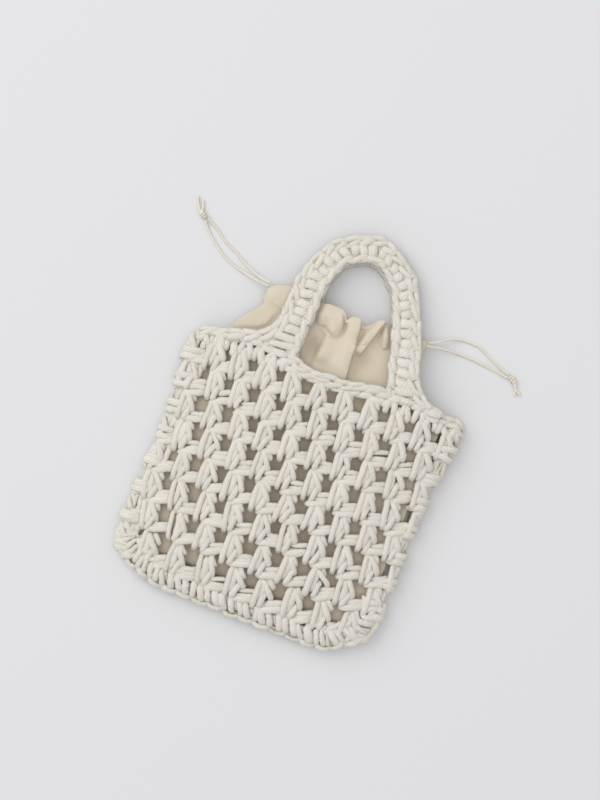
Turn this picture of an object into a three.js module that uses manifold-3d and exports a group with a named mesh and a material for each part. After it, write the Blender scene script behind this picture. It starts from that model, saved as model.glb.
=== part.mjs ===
// A knitted handbag of thick cotton cord, lying flat on its back, with a drawstring pouch of cotton cloth
// inside. Millimetres, +Z up. The bag's width runs along X, its height along Y from the base to the handles,
// and the origin is on the surface that it lies on, under the middle of its outline.
import * as THREE from 'three';
import { mergeVertices } from 'three/addons/utils/BufferGeometryUtils.js';
import Module from 'manifold-3d';

const wasm = await Module();
wasm.setup();

// Driving dimensions
const KNIT = 9; // thickness of a wall worked in the thick cord
const CLOTH = 1.2; // thickness of the pouch's cloth
const DRAWSTRING = 2.2; // diameter of the pouch's drawstring
const SEAT = 0.3; // clearance between pieces that are worked or sewn together
const BASE_TOP = -165.6; // where the tight base rounds end and the open net begins
const ROUND = 26.9; // net pitch from round to round

// The pocket's outline and thickness: left and right edges, the height of the underside over the surface,
// the thickness in the middle and the thickness near the side folds, at each level up the bag.
const POCKET = [
  { y: -189.5, left: -80, right: 76, under: 4.5, middle: 10, edge: 8 },
  { y: -187.0, left: -93, right: 88, under: 1.5, middle: 15.5, edge: 13 },
  { y: -182.0, left: -106, right: 97, under: 0.2, middle: 19, edge: 16.5 },
  { y: -172.0, left: -121, right: 112, under: 0, middle: 22.5, edge: 19 },
  { y: -160.0, left: -131, right: 124, under: 0, middle: 26, edge: 20 },
  { y: -146.0, left: -134.5, right: 127, under: 0, middle: 29.5, edge: 20.5 },
  { y: -110.0, left: -133.5, right: 127.5, under: 0, middle: 33, edge: 20.5 },
  { y: -54.0, left: -131, right: 127.5, under: 0, middle: 34, edge: 20.5 },
  { y: -17.0, left: -132, right: 128.5, under: 0, middle: 34, edge: 20.5 },
  { y: 19.0, left: -137, right: 134, under: 0, middle: 33, edge: 20.5 },
  { y: 44.0, left: -134.5, right: 137, under: 0, middle: 31.5, edge: 20.5 },
  { y: 60.0, left: -121, right: 133, under: 0, middle: 30, edge: 20.5 },
];

// The rounds of open net: the level of each one's gaps, where one of them lies, and the pitch along it. Each
// round leans on from the last by about a third of its pitch.
const ROUNDS = [
  { y: 36.8, gap: -18.3, pitch: 25.4 },
  { y: 12.8, gap: -8.2, pitch: 25.6 },
  { y: -14.5, gap: 0.7, pitch: 25.5 },
  { y: -40.4, gap: 8.6, pitch: 25.6 },
  { y: -67.8, gap: -7.1, pitch: 26.2 },
  { y: -93.8, gap: 3.9, pitch: 26.8 },
  { y: -122.1, gap: -12.3, pitch: 27.4 },
  { y: -149.7, gap: 0.5, pitch: 28.4 },
];

// The rim's lower and upper edges across the bag, with the shoulders that rise to the handles' feet.
const RIM_EDGES = [
  { x: -137, low: 38, high: 47 },
  { x: -118, low: 45.5, high: 56 },
  { x: -88, low: 47.5, high: 59.6 },
  { x: -62, low: 47.5, high: 58.1 },
  { x: -36, low: 47, high: 56.5 },
  { x: -16, low: 46.5, high: 55 },
  { x: 24, low: 47, high: 55.4 },
  { x: 52, low: 47.5, high: 57.5 },
  { x: 74, low: 47.5, high: 58.5 },
  { x: 96, low: 48, high: 59.5 },
  { x: 120, low: 47.5, high: 58.5 },
  { x: 137, low: 44, high: 54 },
];

// A handle's strap from the left foot over the top to the right foot: its inner and outer edges.
const STRAP = [
  { innerX: -34, innerY: 57, outerX: -88, outerY: 60 },
  { innerX: -34, innerY: 66, outerX: -72, outerY: 68 },
  { innerX: -34, innerY: 85, outerX: -64, outerY: 86 },
  { innerX: -33, innerY: 111, outerX: -63, outerY: 112 },
  { innerX: -32, innerY: 130, outerX: -60, outerY: 134 },
  { innerX: -28, innerY: 143, outerX: -53, outerY: 154 },
  { innerX: -20, innerY: 155, outerX: -39, outerY: 174 },
  { innerX: 0, innerY: 163, outerX: 0, outerY: 189.5 },
  { innerX: 18, innerY: 152, outerX: 35, outerY: 171 },
  { innerX: 27, innerY: 140, outerX: 49, outerY: 153 },
  { innerX: 38, innerY: 111, outerX: 66, outerY: 116 },
  { innerX: 47, innerY: 78, outerX: 78, outerY: 80 },
  { innerX: 50, innerY: 66, outerX: 87, outerY: 68 },
  { innerX: 51, innerY: 58, outerX: 96, outerY: 60 },
];
const STRAP_FOOT = 57; // level of the handles' feet
const STRAP_TOP = 163; // level of the inside of the front handle's bend
const FRONT_FOOT = 22.7; // mid-height of the front strap at its feet
const FRONT_SAG_FROM = 72; // level from which the front strap drops towards the back one
const BACK_SHRINK = 0.965; // the back handle's bend lies a little inside the front one's

// The pouch: left and right edges, the underside, and the upper cloth's height along the side edges and in
// the middle.
const POUCH = [
  { y: -158, left: -100, right: 94, under: 9.4, edge: 12.3, middle: 14.5 },
  { y: -140, left: -109, right: 103, under: 9.4, edge: 12.3, middle: 19 },
  { y: -100, left: -110, right: 105, under: 9.4, edge: 12.3, middle: 22.5 },
  { y: -20, left: -110, right: 106, under: 9.4, edge: 12.3, middle: 23.5 },
  { y: 30, left: -110, right: 102, under: 9.4, edge: 12.3, middle: 21.5 },
  { y: 57, left: -105, right: 86, under: 9.4, edge: 12.3, middle: 18 },
  { y: 75, left: -95, right: 78, under: 9.4, edge: 12.6, middle: 16.4 },
  { y: 92, left: -82, right: 71.5, under: 9.4, edge: 12.8, middle: 14.6 },
  { y: 96, left: -83, right: 71.5, under: 9.4, edge: 13, middle: 14.6 },
  { y: 110, left: -83, right: 72, under: 9.4, edge: 13, middle: 13.4 },
  { y: 117, left: -83, right: 72, under: 9.4, edge: 12.8, middle: 13 },
];
const GATHER_FROM = 54; // level where the gathers begin
const GATHER_FULL = 94; // level of the casing's seam, where they are deepest

// The gathers of the pouch's mouth: where each fold lies, how wide it is and how far it stands up.
const GATHERS = [
  { x: -74, width: 5, rise: 4.5 },
  { x: -17, width: 9, rise: 6 },
  { x: 0, width: 21, rise: 4.5 },
  { x: 8, width: 6, rise: 4.5 },
  { x: 28, width: 5, rise: 6 },
];

// The drawstring's four free strands, each from the casing down to the surface and on to its side's knot.
const STRANDS = {
  left_upper: [
    [-83.4, 112.6, 11.3], [-86.5, 112.7, 11.2], [-90.5, 113.3, 10.3], [-95.5, 114.6, 8.4], [-101, 116.6, 6],
    [-107, 119.1, 3.9], [-113, 121.9, 2.4], [-119, 125.3, 1.6], [-125.2, 128.6, 1.3], [-131, 131, 1.3],
    [-136.5, 133.6, 1.3], [-142, 137.5, 1.3], [-148, 141.8, 1.3], [-154.2, 145.2, 1.6], [-159.6, 147.8, 2.6],
  ],
  left_lower: [
    [-83.4, 109.4, 11.3], [-86.5, 109.4, 11.2], [-91, 109.8, 10.2], [-96.5, 110.6, 8.1],
    [-102.5, 111.6, 5.7], [-108.5, 112.8, 3.6], [-114.5, 114.2, 2.2], [-120.5, 115.9, 1.5],
    [-126.5, 118, 1.3], [-132.5, 120.8, 1.3], [-138.5, 124.4, 1.3], [-144.5, 128.7, 1.3],
    [-150.5, 133.4, 1.3], [-156.4, 139, 1.6], [-160.9, 144.9, 2.6],
  ],
  right_upper: [
    [72.4, 114.8, 11.3], [75.5, 115.3, 11.2], [79.5, 117.2, 10.2], [84, 120.3, 8.2], [88.5, 123.6, 5.9],
    [94, 126.6, 3.7], [100.3, 128.6, 2.1], [107.5, 129.4, 1.4], [114.5, 129.3, 1.3], [121, 128.2, 1.3],
    [127, 125.7, 1.3], [133, 122.6, 1.3], [140, 119.5, 1.3], [147.5, 117, 1.6], [154.5, 115, 2.6],
  ],
  right_lower: [
    [72.4, 111.4, 11.3], [75.5, 111.7, 11.2], [80, 112.6, 10.2], [85.5, 113.8, 8], [91.5, 114.8, 5.5],
    [97.5, 115.4, 3.4], [103.5, 115.7, 2], [109.5, 115.8, 1.4], [115.5, 115.7, 1.3], [121.5, 115.3, 1.3],
    [127.5, 114.8, 1.3], [134, 114.2, 1.3], [141, 113.4, 1.3], [147.8, 112.5, 1.6], [154, 111.5, 2.6],
  ],
};

// The knots: centre, the way the strands run on through, and the ends of the two cut tails.
const KNOTS = {
  left: { centre: [-164.6, 149, 2.9], along: [-0.78, 0.62], tails: [[-175.7, 163.4], [-170.2, 161.6]] },
  right: { centre: [158.8, 112, 2.9], along: [0.8, -0.6], tails: [[166.4, 99], [170.6, 101.4]] },
};
const KNOT = { long: 4.4, wide: 3.5, high: 2.8 }; // half sizes of a tied knot

// Mesh helpers

// A value from a table, read smoothly between its rows: a cubic with slopes from the neighbouring rows.
function read(rows, key, by, at) {
  let i = 0;
  while (i < rows.length - 2 && at > rows[i + 1][by]) i += 1;
  const [a, b] = [rows[i], rows[i + 1]];
  const [before, after] = [rows[Math.max(i - 1, 0)], rows[Math.min(i + 2, rows.length - 1)]];
  const span = b[by] - a[by];
  const t = THREE.MathUtils.clamp((at - a[by]) / span, 0, 1);
  const slopeA = ((b[key] - before[key]) / (b[by] - before[by])) * span;
  const slopeB = ((after[key] - a[key]) / (after[by] - a[by])) * span;
  const [t2, t3] = [t * t, t * t * t];
  const fromA = (2 * t3 - 3 * t2 + 1) * a[key] + (t3 - 2 * t2 + t) * slopeA;
  const fromB = (3 * t2 - 2 * t3) * b[key] + (t3 - t2) * slopeB;
  return fromA + fromB;
}

// A closed geometry from points and triangles, turned so that its faces point outwards.
function closedGeometry(points, triangles) {
  const volume = triangles.reduce((sum, [a, b, c]) => {
    return sum + points[a].dot(new THREE.Vector3().crossVectors(points[b], points[c]));
  }, 0);
  const faces = volume < 0 ? triangles.map(([a, b, c]) => [a, c, b]) : triangles;
  const geometry = new THREE.BufferGeometry().setFromPoints(points);
  geometry.setIndex(faces.flat());
  return geometry;
}

// Triangles of the band between two rings of equal length that start at the given indices.
function band(from, to, count) {
  const faces = [];
  for (let k = 0; k < count; k += 1) {
    const next = (k + 1) % count;
    faces.push([from + k, from + next, to + next], [from + k, to + next, to + k]);
  }
  return faces;
}

// Triangles that close a ring whose points lie in pairs across it, the last opposite the first.
function cap(from, count) {
  const faces = [];
  let [low, high] = [0, count - 1];
  while (high - low > 1) {
    faces.push([from + low, from + low + 1, from + high]);
    low += 1;
    if (high - low > 1) faces.push([from + low, from + high - 1, from + high]);
    high -= 1;
  }
  return faces;
}

// A solid through closed rings of points, closed at both ends.
function loft(rings) {
  const count = rings[0].length;
  const faces = [];
  for (let r = 0; r + 1 < rings.length; r += 1) faces.push(...band(r * count, (r + 1) * count, count));
  faces.push(...cap(0, count).map(([a, b, c]) => [a, c, b]));
  faces.push(...cap((rings.length - 1) * count, count));
  return closedGeometry(rings.flat(), faces);
}

// A hollow wall between outer and inner rings, open at its last ring and, unless closed, at its first.
function hollow(outer, inner, closedStart) {
  const count = outer[0].length;
  const innerStart = outer.length * count;
  const faces = [];
  for (let r = 0; r + 1 < outer.length; r += 1) faces.push(...band(r * count, (r + 1) * count, count));
  for (let r = 0; r + 1 < inner.length; r += 1) {
    faces.push(...band(innerStart + (r + 1) * count, innerStart + r * count, count));
  }
  faces.push(...band((outer.length - 1) * count, innerStart + (inner.length - 1) * count, count));
  if (closedStart) {
    faces.push(...cap(0, count).map(([a, b, c]) => [a, c, b]), ...cap(innerStart, count));
  } else {
    faces.push(...band(innerStart, 0, count));
  }
  return closedGeometry([...outer, ...inner].flat(), faces);
}

// Levels from one height to another, at about the given step.
function levels(from, to, step) {
  const count = Math.max(1, Math.round(Math.abs(to - from) / step));
  return Array.from({ length: count + 1 }, (_, k) => from + ((to - from) * k) / count);
}

function solidOf(geometry) {
  const bare = geometry.clone();
  for (const name of Object.keys(bare.attributes)) if (name !== 'position') bare.deleteAttribute(name);
  const merged = mergeVertices(bare, 1e-4);
  return new wasm.Manifold(
    new wasm.Mesh({
      numProp: 3,
      vertProperties: new Float32Array(merged.attributes.position.array),
      triVerts: new Uint32Array(merged.index.array),
    }),
  );
}

function geometryOf(solid) {
  const mesh = solid.getMesh();
  const geometry = new THREE.BufferGeometry();
  geometry.setAttribute('position', new THREE.BufferAttribute(new Float32Array(mesh.vertProperties), 3));
  geometry.setIndex([...mesh.triVerts]);
  return geometry;
}

// The knitted pocket

const UNDER_STEPS = 8;
const SIDE_STEPS = 4;
const UPPER_STEPS = 12;

// The height of the pocket's upper face over its edge, as a share of the whole swell, across the bag.
const swell = (across) => 1 - across * across;

// The pocket's section at a level, a given depth inside its outer face. It may follow an edge instead of
// the level.
function pocketRing(y, inset, edgeAt) {
  const at = (key) => read(POCKET, key, 'y', y);
  const radius = at('edge') / 2 - inset;
  const [left, right] = [at('left') + inset + radius, at('right') - inset - radius];
  const axis = Math.max(at('under'), 0) + at('edge') / 2;
  const place = (x, z) => new THREE.Vector3(x, edgeAt ? edgeAt(x) : y, z);
  const ring = [];
  for (let k = 0; k <= UNDER_STEPS; k += 1) {
    ring.push(place(THREE.MathUtils.lerp(left, right, k / UNDER_STEPS), axis - radius));
  }
  for (let k = 1; k < SIDE_STEPS; k += 1) {
    const turn = -Math.PI / 2 + (Math.PI * k) / SIDE_STEPS;
    ring.push(place(right + radius * Math.cos(turn), axis + radius * Math.sin(turn)));
  }
  for (let k = 0; k <= UPPER_STEPS; k += 1) {
    const across = 1 - (2 * k) / UPPER_STEPS;
    const height = (at('middle') - at('edge')) * swell(across);
    ring.push(place((left + right) / 2 + ((right - left) / 2) * across, axis + radius + height));
  }
  for (let k = 1; k < SIDE_STEPS; k += 1) {
    const turn = Math.PI / 2 + (Math.PI * k) / SIDE_STEPS;
    ring.push(place(left + radius * Math.cos(turn), axis + radius * Math.sin(turn)));
  }
  return ring;
}

// One mesh of the net: a gap that leans with the stitches on either side of it.
const NET_GAP = { wide: 8.6, high: 11, slant: 2.4, rise: 2.2 };

function netGap(x, y, mirror, low, high) {
  const [w, h] = [NET_GAP.wide / 2, NET_GAP.high / 2];
  const corners = [
    [-w - NET_GAP.slant / 2, h],
    [-w + NET_GAP.slant, -h - NET_GAP.rise / 2],
    [w + NET_GAP.slant / 2, -h + NET_GAP.rise / 2],
    [w, h],
  ];
  const outline = new THREE.Shape(corners.map(([u, v]) => new THREE.Vector2(x + mirror * u, y + v)));
  const prism = new THREE.ExtrudeGeometry(outline, { depth: high - low, bevelEnabled: false });
  return solidOf(prism.translate(0, 0, low));
}

const GAP_REACH = 106; // gaps farther out than this lie on the side folds, where the stitches close them
const MIDDLE = 16; // height between the pocket's two walls

// The gaps of one wall. The net is worked in the round, so seen from the front the back's rows lean the
// other way.
function netGaps(mirror, low, high) {
  const gaps = [];
  for (const { y, gap, pitch } of ROUNDS) {
    const first = gap - pitch * Math.floor((gap + GAP_REACH) / pitch);
    for (let x = first; x <= GAP_REACH; x += pitch) gaps.push(netGap(mirror * x, y, mirror, low, high));
  }
  return gaps;
}

const RIM_LEVEL = 50; // level at which the pocket's section carries the rim
const NET_LAST = 28; // the net's last plain section under the rim's edge

function rimEdge(key, offset, inset) {
  return pocketRing(RIM_LEVEL, inset, (x) => read(RIM_EDGES, key, 'x', x) + offset);
}

function netBody() {
  const heights = levels(BASE_TOP + SEAT, NET_LAST, ROUND);
  const rings = (inset) => [...heights.map((y) => pocketRing(y, inset)), rimEdge('low', -SEAT / 2, inset)];
  let net = solidOf(hollow(rings(0), rings(KNIT), false));
  for (const gap of [...netGaps(1, MIDDLE, 60), ...netGaps(-1, -10, MIDDLE)]) net = net.subtract(gap);
  return geometryOf(net);
}

const BASE_FLOOR = -176; // inside of the base's fold

function baseBand() {
  const outside = [...POCKET.map((row) => row.y).filter((y) => y < BASE_TOP), BASE_TOP];
  const inside = levels(BASE_FLOOR, BASE_TOP, (BASE_TOP - BASE_FLOOR) / (outside.length - 1));
  return hollow(outside.map((y) => pocketRing(y, 0)), inside.map((y) => pocketRing(y, KNIT)), true);
}

function rimBand() {
  const rings = (inset) => [rimEdge('low', SEAT / 2, inset), rimEdge('high', 0, inset)];
  return hollow(rings(0), rings(KNIT), false);
}

// The handles

const STRAP_STATIONS = 30;
const STRAP_ROUNDING = 2.6; // how far the strap's corners are rounded off

// The strap's section at a share of the way along it, as a rounded rectangle between its two edges.
function strapRing(share, shrink, midHeight) {
  const level = (y) => STRAP_FOOT + (y - STRAP_FOOT) * shrink;
  const edge = (x, y) => {
    const points = STRAP.map((row) => new THREE.Vector3(row[x] * shrink, level(row[y]), 0));
    return new THREE.CatmullRomCurve3(points).getPoint(share);
  };
  const [inner, outer] = [edge('innerX', 'innerY'), edge('outerX', 'outerY')];
  const width = inner.distanceTo(outer);
  const height = midHeight((inner.y + outer.y) / 2);
  const [h, r] = [KNIT / 2, STRAP_ROUNDING];
  const profile = [
    [r, -h],
    [width - r, -h],
    [width, -h + r],
    [width, h - r],
    [width - r, h],
    [r, h],
    [0, h - r],
    [0, -h + r],
  ];
  return profile.map(([u, z]) => {
    const point = inner.clone().lerp(outer, u / width);
    return point.setZ(height + z);
  });
}

function handle(shrink, midHeight) {
  const stations = Array.from({ length: STRAP_STATIONS + 1 }, (_, k) => k / STRAP_STATIONS);
  return loft(stations.map((share) => strapRing(share, shrink, midHeight)));
}

const BACK_HEIGHT = KNIT / 2;
const FRONT_TOP = BACK_HEIGHT + KNIT + SEAT;

function frontHeight(y) {
  const drop = THREE.MathUtils.smoothstep(y, FRONT_SAG_FROM, STRAP_TOP);
  return THREE.MathUtils.lerp(FRONT_FOOT, FRONT_TOP, drop);
}

// The pouch

const POUCH_STEPS = 32;

function gather(x, y) {
  const depth = THREE.MathUtils.smoothstep(y, GATHER_FROM, GATHER_FULL);
  return GATHERS.reduce((sum, { x: at, width, rise }) => {
    return sum + depth * rise * Math.exp(-(((x - at) / width) ** 2));
  }, 0);
}

// The pouch's section at a level: the under cloth from left to right, then the upper cloth back again.
function pouchRing(y, inset) {
  const at = (key) => read(POUCH, key, 'y', y);
  const [left, right] = [at('left') + inset, at('right') - inset];
  const ring = [];
  for (let k = 0; k <= POUCH_STEPS; k += 1) {
    const x = THREE.MathUtils.lerp(left, right, k / POUCH_STEPS);
    ring.push(new THREE.Vector3(x, y, at('under') + inset));
  }
  for (let k = 0; k <= POUCH_STEPS; k += 1) {
    const x = THREE.MathUtils.lerp(right, left, k / POUCH_STEPS);
    const across = (2 * k) / POUCH_STEPS - 1;
    const height = at('edge') + (at('middle') - at('edge')) * swell(across) + gather(x, y);
    ring.push(new THREE.Vector3(x, y, height - inset));
  }
  return ring;
}

function pouch() {
  const [bottom, top] = [POUCH[0].y, POUCH[POUCH.length - 1].y];
  const heights = [...levels(bottom, 30, 47), ...levels(30, top, 11).slice(1)];
  const inside = [bottom + CLOTH, ...heights.slice(1)];
  return hollow(heights.map((y) => pouchRing(y, 0)), inside.map((y) => pouchRing(y, CLOTH)), true);
}

// The drawstring

const CORD_SIDES = 8;
const CORD_STEP = 2.6 * DRAWSTRING;

function roundSection(radius) {
  const corner = (k) => (2 * Math.PI * (k + 0.5)) / CORD_SIDES;
  const points = Array.from({ length: CORD_SIDES }, (_, k) => {
    return new THREE.Vector2(radius * Math.cos(corner(k)), radius * Math.sin(corner(k)));
  });
  return new THREE.Shape(points);
}

function cordAlong(points, step) {
  const extrudePath = new THREE.CatmullRomCurve3(points);
  const steps = Math.round(extrudePath.getLength() / step);
  return new THREE.ExtrudeGeometry(roundSection(DRAWSTRING / 2), { steps, extrudePath, bevelEnabled: false });
}

function strand(route) {
  return cordAlong(route.map((p) => new THREE.Vector3(...p)), CORD_STEP);
}

// A tied knot with its two cut tails, joined into one solid.
function knot({ centre, along, tails }) {
  const middle = new THREE.Vector3(...centre);
  const ball = new THREE.SphereGeometry(1, 12, 8).scale(KNOT.long, KNOT.wide, KNOT.high);
  ball.rotateZ(Math.atan2(along[1], along[0])).translate(...centre);
  let solid = solidOf(ball);
  for (const [x, y] of tails) {
    const end = new THREE.Vector3(x, y, DRAWSTRING / 2 + 0.2);
    const bend = middle.clone().lerp(end, 0.5).setZ(DRAWSTRING / 2 + 0.8);
    solid = solid.add(solidOf(cordAlong([middle, bend, end], 2 * DRAWSTRING)));
  }
  return geometryOf(solid);
}

// Assembly

function cotton(name, color) {
  return new THREE.MeshStandardMaterial({ name, color, roughness: 0.9, metalness: 0 });
}

const cottonCord = cotton('cotton_cord', 0xe3dfd5);
const cottonCloth = cotton('cotton_cloth', 0xd9c9ae);
const cottonString = cotton('cotton_string', 0xdcd5c1);

const bag = new THREE.Group();

function add(name, geometry, material) {
  const mesh = new THREE.Mesh(geometry, material);
  mesh.name = name;
  bag.add(mesh);
}

add('net_body', netBody(), cottonCord);
add('base_band', baseBand(), cottonCord);
add('rim_band', rimBand(), cottonCord);
add('handle_front', handle(1, frontHeight), cottonCord);
add('handle_back', handle(BACK_SHRINK, () => BACK_HEIGHT), cottonCord);
add('pouch', pouch(), cottonCloth);
for (const [side, route] of Object.entries(STRANDS)) add(`drawstring_${side}`, strand(route), cottonString);
for (const [side, tied] of Object.entries(KNOTS)) add(`knot_${side}`, knot(tied), cottonString);

export default bag;
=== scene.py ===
"""A knitted handbag of thick cotton cord, lying flat, with a drawstring pouch of cotton cloth inside.

Sizes are in millimetres in the tables and become metres where a mesh is made. X runs across the bag,
Y runs up it from the base to the handles, and Z is up from the surface that it lies on.
"""

import logging
import math
from collections.abc import Callable, Sequence
from dataclasses import dataclass, field, replace
from enum import Enum

import bmesh
import bpy
import numpy as np
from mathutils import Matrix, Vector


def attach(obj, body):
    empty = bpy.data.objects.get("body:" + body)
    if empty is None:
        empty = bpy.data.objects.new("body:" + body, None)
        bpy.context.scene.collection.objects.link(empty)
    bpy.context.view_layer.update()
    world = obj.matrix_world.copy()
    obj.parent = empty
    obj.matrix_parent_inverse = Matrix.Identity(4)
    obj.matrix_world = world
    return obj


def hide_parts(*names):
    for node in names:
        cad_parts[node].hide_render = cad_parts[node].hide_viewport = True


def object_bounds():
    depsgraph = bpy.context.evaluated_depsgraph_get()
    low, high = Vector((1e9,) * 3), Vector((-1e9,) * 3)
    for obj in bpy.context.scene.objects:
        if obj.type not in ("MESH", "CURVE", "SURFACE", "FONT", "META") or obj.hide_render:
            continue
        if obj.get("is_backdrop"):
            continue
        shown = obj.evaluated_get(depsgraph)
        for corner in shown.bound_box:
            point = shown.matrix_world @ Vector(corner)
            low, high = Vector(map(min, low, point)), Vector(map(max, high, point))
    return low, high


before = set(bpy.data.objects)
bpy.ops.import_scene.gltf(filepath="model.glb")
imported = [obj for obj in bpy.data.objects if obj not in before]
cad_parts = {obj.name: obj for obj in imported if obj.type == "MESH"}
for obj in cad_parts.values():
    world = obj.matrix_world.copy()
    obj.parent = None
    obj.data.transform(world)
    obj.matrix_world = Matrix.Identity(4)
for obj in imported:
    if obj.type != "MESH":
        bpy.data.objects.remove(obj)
CAD_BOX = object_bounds()

LOG = logging.getLogger("handbag")
MM = 0.001
KNIT = 9.0  # thickness of a wall worked in the thick cord
CORD = 3.0  # half width of the thick cord
STITCH = 26.1  # net pitch that the stitches are drawn for
GIRTH = 522.0  # length of a round
FLOOR_GAP = 0.15  # least height of anything over the surface

Array = np.ndarray
Lay = Callable[[Array], Array]
Point = tuple[float, float, float]
Table = tuple[tuple[float, ...], ...]
Tree = bpy.types.NodeTree
Socket = bpy.types.NodeSocket


def linear(colour: str) -> tuple[float, float, float, float]:
    """Turns an sRGB hex colour to linear values.

    Args:
        colour: six hex digits.

    Returns:
        The colour with an alpha of one.
    """
    shares = [int(colour[i : i + 2], 16) / 255 for i in (0, 2, 4)]
    values = [s / 12.92 if s <= 0.04045 else ((s + 0.055) / 1.055) ** 2.4 for s in shares]
    return (*values, 1.0)


def add_node(tree: Tree, kind: str, inputs: dict, **settings: str) -> bpy.types.Node:
    """Adds a shader node, sets it, and fills or links its inputs.

    Args:
        tree: the node tree.
        kind: the node's type, without the words that every shader node's type starts with.
        inputs: a value or an output socket for each input, by its name or number.
        settings: the node's own properties.

    Returns:
        The node.
    """
    node = tree.nodes.new(f"ShaderNode{kind}")
    for name, value in settings.items():
        setattr(node, name, value)
    for name, value in inputs.items():
        if isinstance(value, Socket):
            tree.links.new(value, node.inputs[name])
        else:
            node.inputs[name].default_value = value
    return node


def calculate(tree: Tree, operation: str, *values: object) -> Socket:
    """Adds a node that calculates with values or sockets, and gives its result's socket."""
    return add_node(tree, "Math", dict(enumerate(values)), operation=operation).outputs[0]


def read(table: Table, at: Array | float) -> Array:
    """Reads a table smoothly between its rows, with slopes from the neighbouring rows.

    Args:
        table: the table, in rising order of its first column.
        at: where to read, as values of that column.

    Returns:
        The values there, with the other columns along the last axis.
    """
    columns = np.array(table, float)
    places, values = columns[:, :1], columns[:, 1:]
    at = np.asarray(at, float)
    i = np.clip(np.searchsorted(places[:, 0], at) - 1, 0, len(table) - 2)
    before, after = np.maximum(i - 1, 0), np.minimum(i + 2, len(table) - 1)
    span = places[i + 1] - places[i]
    t = np.clip((at[..., None] - places[i]) / span, 0, 1)
    slope_a = (values[i + 1] - values[before]) / (places[i + 1] - places[before]) * span
    slope_b = (values[after] - values[i]) / (places[after] - places[i]) * span
    t2, t3 = t * t, t * t * t
    start = (2 * t3 - 3 * t2 + 1) * values[i] + (t3 - 2 * t2 + t) * slope_a
    return start + (3 * t2 - 2 * t3) * values[i + 1] + (t3 - t2) * slope_b


def smoothstep(value: Array | float, low: float, high: float) -> Array:
    """Rises smoothly from 0 at low to 1 at high."""
    t = np.clip((np.asarray(value, float) - low) / (high - low), 0, 1)
    return t * t * (3 - 2 * t)


def unit(vectors: Array) -> Array:
    """Brings vectors to a length of one."""
    return vectors / np.linalg.norm(vectors, axis=-1, keepdims=True)


def distances(route: Array) -> Array:
    """Gives the distance along a route at each of its points."""
    return np.concatenate([[0], np.cumsum(np.linalg.norm(np.diff(route, axis=0), axis=1))])


def sample(table: Array, places: Array, at: Array) -> Array:
    """Reads all columns of a table straight between its rows, which lie at the places."""
    return np.stack([np.interp(at, places, column) for column in table.T], axis=-1)


def spots(u: Array | float, y: Array | float = 0.0) -> Array:
    """Gives places in the middle of a wall, before they are laid, from distances along it and up it."""
    return np.stack(np.broadcast_arrays(u, y, 0.0), axis=1)


def smooth_route(points: Sequence, count: int) -> Array:
    """Samples a smooth curve through points at even steps of length.

    Args:
        points: the points, of any dimension.
        count: how many samples.

    Returns:
        The samples, one to a row.
    """
    p = np.asarray(points, float)
    p = np.vstack([2 * p[0] - p[1], p, 2 * p[-1] - p[-2]])
    steps = 16  # from each point to the next
    t = np.linspace(0, 1, steps, endpoint=False)[:, None]
    runs = []
    for a, b, c, d in zip(p[:-3], p[1:-2], p[2:-1], p[3:]):
        runs.append(b + 0.5 * t * (c - a + t * (2 * a - 5 * b + 4 * c - d + t * (3 * (b - c) + d - a))))
    dense = np.vstack([*runs, p[-2:-1]])
    length = distances(dense)
    return sample(dense, length, np.linspace(0, length[-1], count))


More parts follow.
